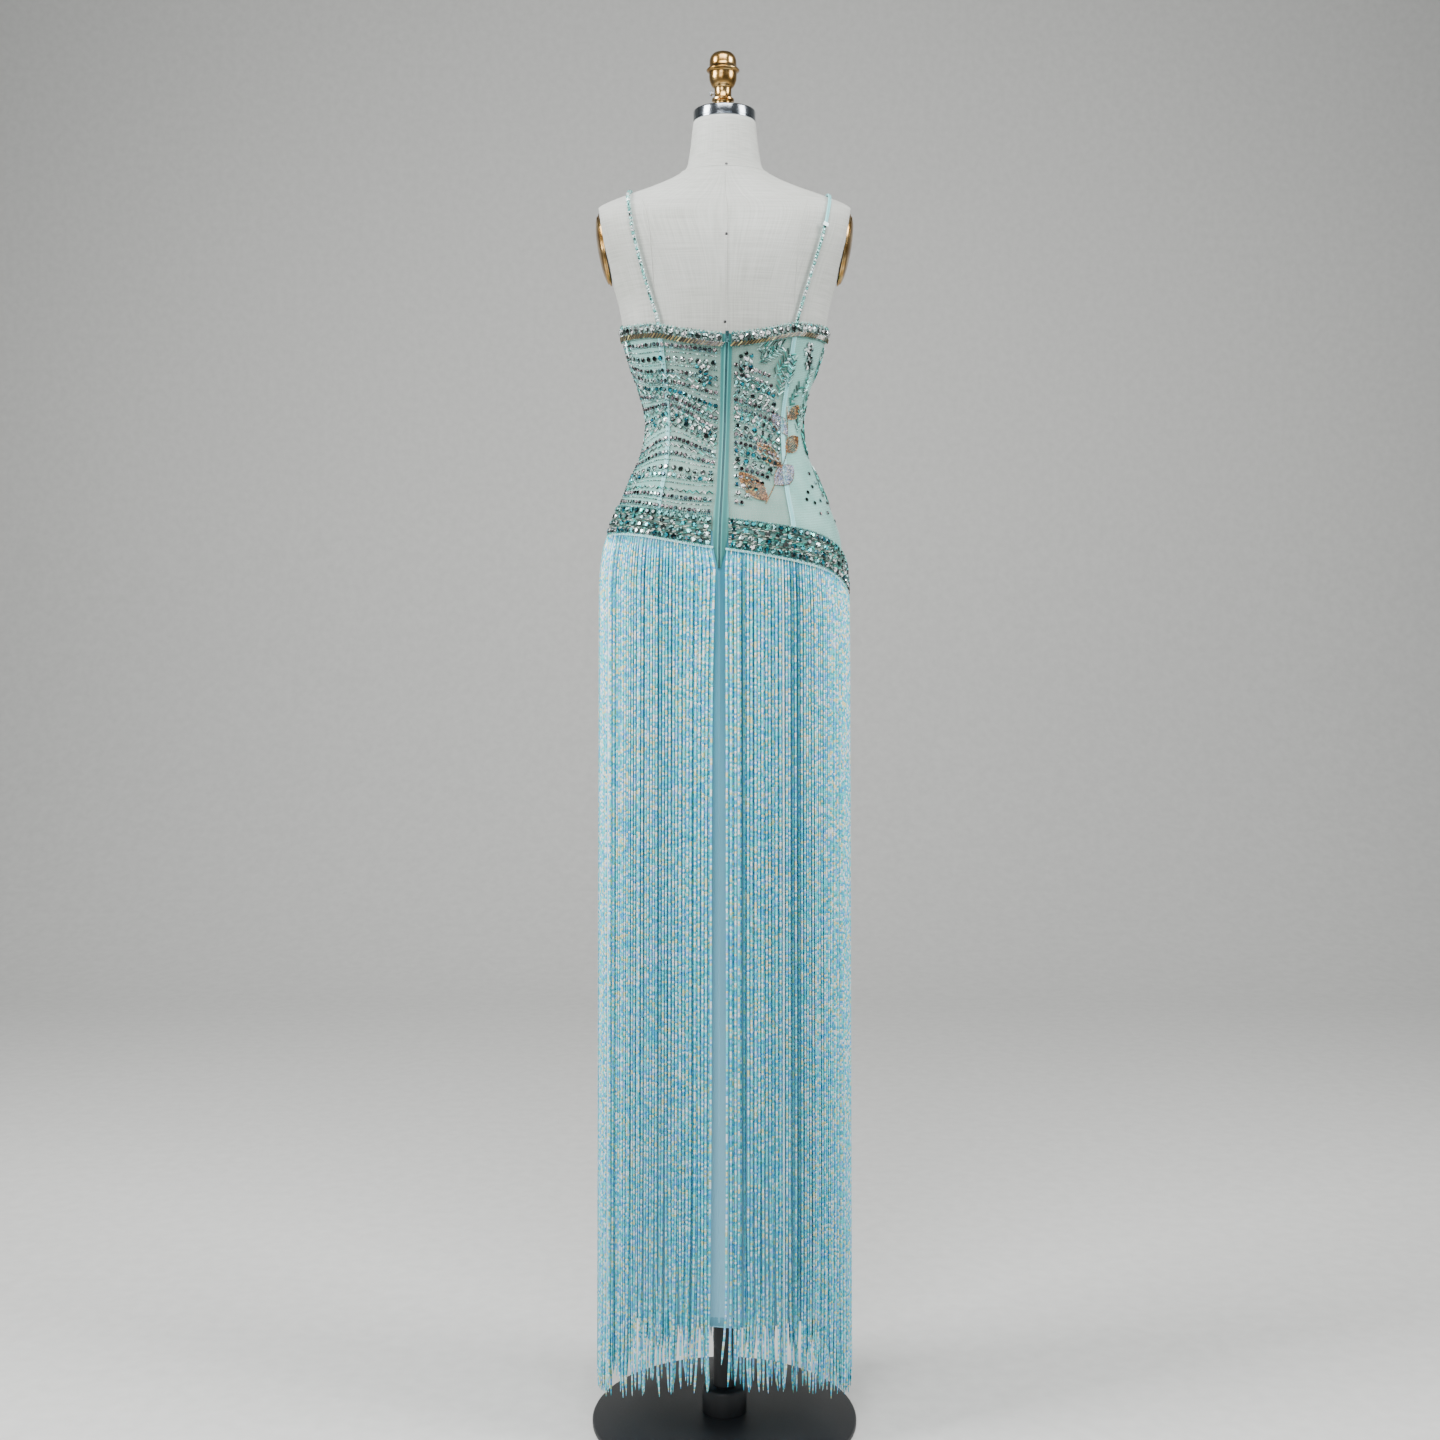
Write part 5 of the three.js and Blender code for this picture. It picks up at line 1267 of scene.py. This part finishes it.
# The rows' kinds, from the band upwards
ROWS = ["bronze", "seed", "bronze", "zigzag", "seed", "teal", "silver", "seed", "bronze", "zigzag",
        "bronze", "seed", "zigzag", "silver", "teal", "zigzag", "bronze", "seed", "bronze", "zigzag",
        "teal", "seed", "bronze", "zigzag", "bronze", "seed", "silver", "seed", "bronze"]
for number, kind in enumerate(ROWS):
    share = (number + 0.6) / len(ROWS)
    by_zip = centre_back(height(np.zeros(1), share))[0] - 0.075
    # At the front, rows stop short of the sprays, and run through below and above them
    front = [(1.9, 4.7)] if number < 3 or number > 24 else [(1.9, 2.3), (3.98, 4.7)]
    if 18 < number < 25:
        front = [(1.9, 2.75), (3.55, 4.7)]
    for start, end in [(-1.62, by_zip)] + front:
        angle = np.linspace(start, end, 120)
        bead_row(kind, angle, waved(angle, share))


def stem_x(z):
    """The stem of the leaf spray, from the middle plane: it bows out a little."""
    t = np.clip((z - 1226) / 138, 0, 1)
    return 50 + 30 * t + 12 * np.sin(np.pi * t)


# Slanted rows fall away from the zip as far as the spray's leaves, closest at the waist
SLANT = ["bronze", "zigzag", "silver", "seed", "teal", "zigzag", "bronze", "seed"]
for number, z0 in enumerate(np.arange(1234, 1424, 5.6)):
    if (z0 < 1275 or z0 > 1400) and number % 2:
        continue
    reach = np.linspace(0, 1, 40) * (stem_x(z0) - 20 - 0.002 * (z0 - 1335) ** 2)
    x = 11.5 + reach
    z = z0 - 0.36 * reach + 3 * np.sin(reach / 22)
    bead_row(SLANT[number % len(SLANT)], angle_at(x, z), z)


def rosettes(centres, radius, middle, petal, tones):
    """A stone with six round it, at each centre given by angle and height. The upper bodice has
    115 mm to a radian."""
    for k, (angle, z) in enumerate(np.array(centres, float)):
        turn = np.arange(6) * np.pi / 3 + 0.3 * k
        a, h = angle + radius * np.cos(turn) / 115, z + radius * np.sin(turn)
        sew(stones, a, h, (petal,) * 3, tones, 1.0)
        sew(stones, np.array([angle]), np.array([z]), (middle,) * 3, SILVER, 1.0, lift=0.2)


rosettes([(-0.21, 1410), (-0.2, 1394), (0.2, 1420), (0.22, 1405)], 7.0, 4.0, 3.1, TEAL + SILVER)
rosettes([(0.98, 1437), (1.06, 1421)], 7.2, 4.4, 3.2, SILVER)
rosettes([(2.2, 1420), (2.45, 1452), (4.08, 1420), (3.83, 1452), (3.14, 1490)], 7.0, 4.2, 3.1,
         SILVER + TEAL[:1])


def leaf(angle, z, lean, length, width, tones, edging):
    """A leaf filled with seed beads: across it, a bead lies at q times the half width times sin of
    pi p to the power 0.8, with p along the leaf; its edge is a closer line of beads."""
    p = np.linspace(0.02, 0.98, int(length / 1.9))
    q = np.linspace(-1, 1, max(int(width / 2.0), 3))
    along_leaf, across_leaf = [g.ravel() for g in np.meshgrid(p, q, indexing="ij")]
    half = np.sin(np.pi * along_leaf) ** 0.8 * width / 2
    edge_p = np.linspace(0, 1, int(length / 1.7))
    edge_x = np.sin(np.pi * edge_p) ** 0.8 * (width / 2 + 1.2)
    cos, sin = np.cos(lean), np.sin(lean)
    for px, py, colours, size in [(across_leaf * half, along_leaf * length, tones, 1.25),
                                  (edge_x, edge_p * length, edging, 1.1),
                                  (-edge_x, edge_p * length, edging, 1.1)]:
        across, up = px * cos + py * sin, py * cos - px * sin
        near = on_form(angle + 0.01, z + up) - on_form(angle - 0.01, z + up)
        arc = np.linalg.norm(near, axis=-1) / 0.02
        sew(seeds, angle + across / arc, z + up, (size, size * 0.9, size), colours, 0.5, -lean)


# A spray climbs from the band beside the right seam, and one on each side of the front: leaves lie
# to both sides of a gold stem
climb = np.linspace(1230, 1362, 60)
SPRAYS = [(angle_at(stem_x(climb), climb), climb)]
for low, high in [((2.72, 1215), (2.42, 1400)), ((3.56, 1232), (3.86, 1400))]:
    SPRAYS.append((np.linspace(low[0], high[0], 60), np.linspace(low[1], high[1], 60)))
for stem_angle, stem_z in SPRAYS:
    seeds.append(row_of(stem_angle, stem_z, 1.9, laid, (1.1, 1.1, 1.2), GOLD, 0.4))
    for k in range(6):
        at = 2 + 10 * k
        tones, edging = (GOLD, IVORY[2:3] + GOLD[2:3]) if k % 3 != 1 else (IVORY, GOLD[:2])
        lean = 0.1 + (0.85 if k % 2 else -0.75)
        leaf(stem_angle[at], stem_z[at], lean, 46 - 3 * k, 23 - 1.8 * k, tones, edging)


def sprig(angle, z, lean, length, pairs):
    """A stem of seed beads with pairs of slanted bugles."""
    y = np.linspace(0, length, int(length / 2.0))
    cos, sin = np.cos(lean), np.sin(lean)
    sew(seeds, angle + y * sin / ARC, z + y * cos, (1.3, 1.3, 1.1), AQUA + TEAL[1:2], 0.5)
    t = np.linspace(0.15, 1, pairs) * length
    for side in (-1, 1):
        x = side * 4.6
        a, h = angle + (x * cos + t * sin) / ARC, z + t * cos - x * sin + 2.4 * cos
        turn = np.pi / 2 - lean - side * 0.8
        sew(bugles, a, h, (4.1, 1.2, 1.2), AQUA + PALE[1:2], 0.6, turn)


for angle, z, lean, length in [(0.3, 1432, 1.4, 36), (0.34, 1416, 1.0, 34), (0.56, 1398, 0.5, 34),
                               (0.78, 1386, -0.1, 36), (0.66, 1372, 0.1, 30), (0.9, 1362, 0.5, 30),
                               (1.16, 1378, 0.1, 36), (1.28, 1346, 0.2, 34), (1.12, 1330, 0.3, 30),
                               (1.34, 1296, 0.0, 34), (1.3, 1246, 0.3, 34), (1.46, 1400, -0.1, 40),
                               (1.56, 1320, 0.1, 44), (1.62, 1230, 0.0, 44), (1.72, 1400, 0.1, 44),
                               (1.76, 1280, 0.0, 44), (-1.3, 1426, 0.3, 26), (2.0, 1340, 0.2, 44),
                               (4.28, 1340, -0.2, 44), (3.14, 1300, 0.0, 60), (2.95, 1380, -0.4, 44),
                               (3.33, 1380, 0.4, 44), (3.14, 1210, 0.0, 60), (2.9, 1240, -0.5, 40),
                               (3.38, 1240, 0.5, 40)]:
    sprig(angle, z, lean, length, max(int(length / 5.2), 4))

# Single stones lie scattered in the open net above the band on the right
a = np.array([0.92, 1.05, 1.18, 0.98, 1.12, 1.26, 1.02, 1.2, 1.32, 1.38, 0.86, 1.1])
h = np.array([1248, 1256, 1262, 1234, 1238, 1246, 1220, 1222, 1236, 1212, 1238, 1274], float)
sew(stones, a, h, (2.9, 2.9, 2.4), BRONZE + SILVER[2:4], 1.0)
put_beads("bodice", "crystal_trim", 51, stones, bugles, seeds)


# Studio
#
# A pale floor that sweeps up behind, two tall softboxes at the sides, a smaller one above and a
# weak one by the camera. The camera stands 2.3 m behind the dress, level, at 1.07 m.

def sweep():
    """The floor runs level and bends up in a quarter circle into the backdrop."""
    y = np.concatenate([np.linspace(-9000, 2500, 24), 2500 + 1500 * np.sin(np.linspace(0.1, np.pi / 2, 14)),
                        np.full(6, 4000.0)])
    z = np.concatenate([np.zeros(24), 1500 - 1500 * np.cos(np.linspace(0.1, np.pi / 2, 14)),
                        np.linspace(2200, 7000, 6)])
    x = np.linspace(-9000, 9000, 20)
    return stacked(x[None], y[:, None], z[:, None])


paper, tree, _, place = new_material("matt_paper")
grain = add(tree, "TexNoise", Vector=place, Scale=40.0, Detail=3.0)
colour = add(tree, "ValToRGB", Fac=grain.outputs[0], stops=[(0.3, "#D6D6D3"), (0.7, "#DEDEDB")])
shader = add(tree, "BsdfPrincipled", Base_Color=colour, Roughness=0.9)
add(tree, "OutputMaterial", Surface=shader)
floor = surface("studio_floor", sweep())
floor.data.materials.append(paper)

# Each light: where it stands, what it faces, its width and height in metres, and its watts
LIGHTS = [("softbox_left", (-2.3, -0.8, 2.4), (0, 0, 1.3), (0.9, 1.6), 134),
          ("softbox_right", (2.3, -0.8, 2.4), (0, 0, 1.3), (0.9, 1.6), 100),
          ("softbox_top", (0.0, -1.0, 2.8), (0, 0, 1.5), (1.2, 0.7), 40),
          ("softbox_front", (-0.7, -2.6, 1.9), (0, 0, 0.9), (1.0, 1.0), 28)]
for name, place, target, (wide, tall), watts in LIGHTS:
    lamp = bpy.data.lights.new(name, "AREA")
    lamp.shape, lamp.size, lamp.size_y, lamp.energy = "RECTANGLE", wide, tall, watts
    light = bpy.data.objects.new(name, lamp)
    bpy.context.scene.collection.objects.link(light)
    towards = np.array(target) - np.array(place)
    light.location = place
    light.rotation_euler = (np.arctan2(np.hypot(towards[0], towards[1]), -towards[2]), 0,
                            np.arctan2(-towards[0], towards[1]))
world = bpy.data.worlds.new("studio")
world.use_nodes = True
world.node_tree.nodes["Background"].inputs["Color"].default_value = linear("#DDE2E6")
world.node_tree.nodes["Background"].inputs["Strength"].default_value = 0.17
bpy.context.scene.world = world

lens = bpy.data.cameras.new("camera")
lens.lens, lens.sensor_width, lens.shift_y = 42.5, 36.0, -0.066
camera = bpy.data.objects.new("camera", lens)
camera.location = (-0.006, -2.3, 1.073)
camera.rotation_euler = (np.pi / 2, 0, 0)
bpy.context.scene.collection.objects.link(camera)
bpy.context.scene.camera = camera
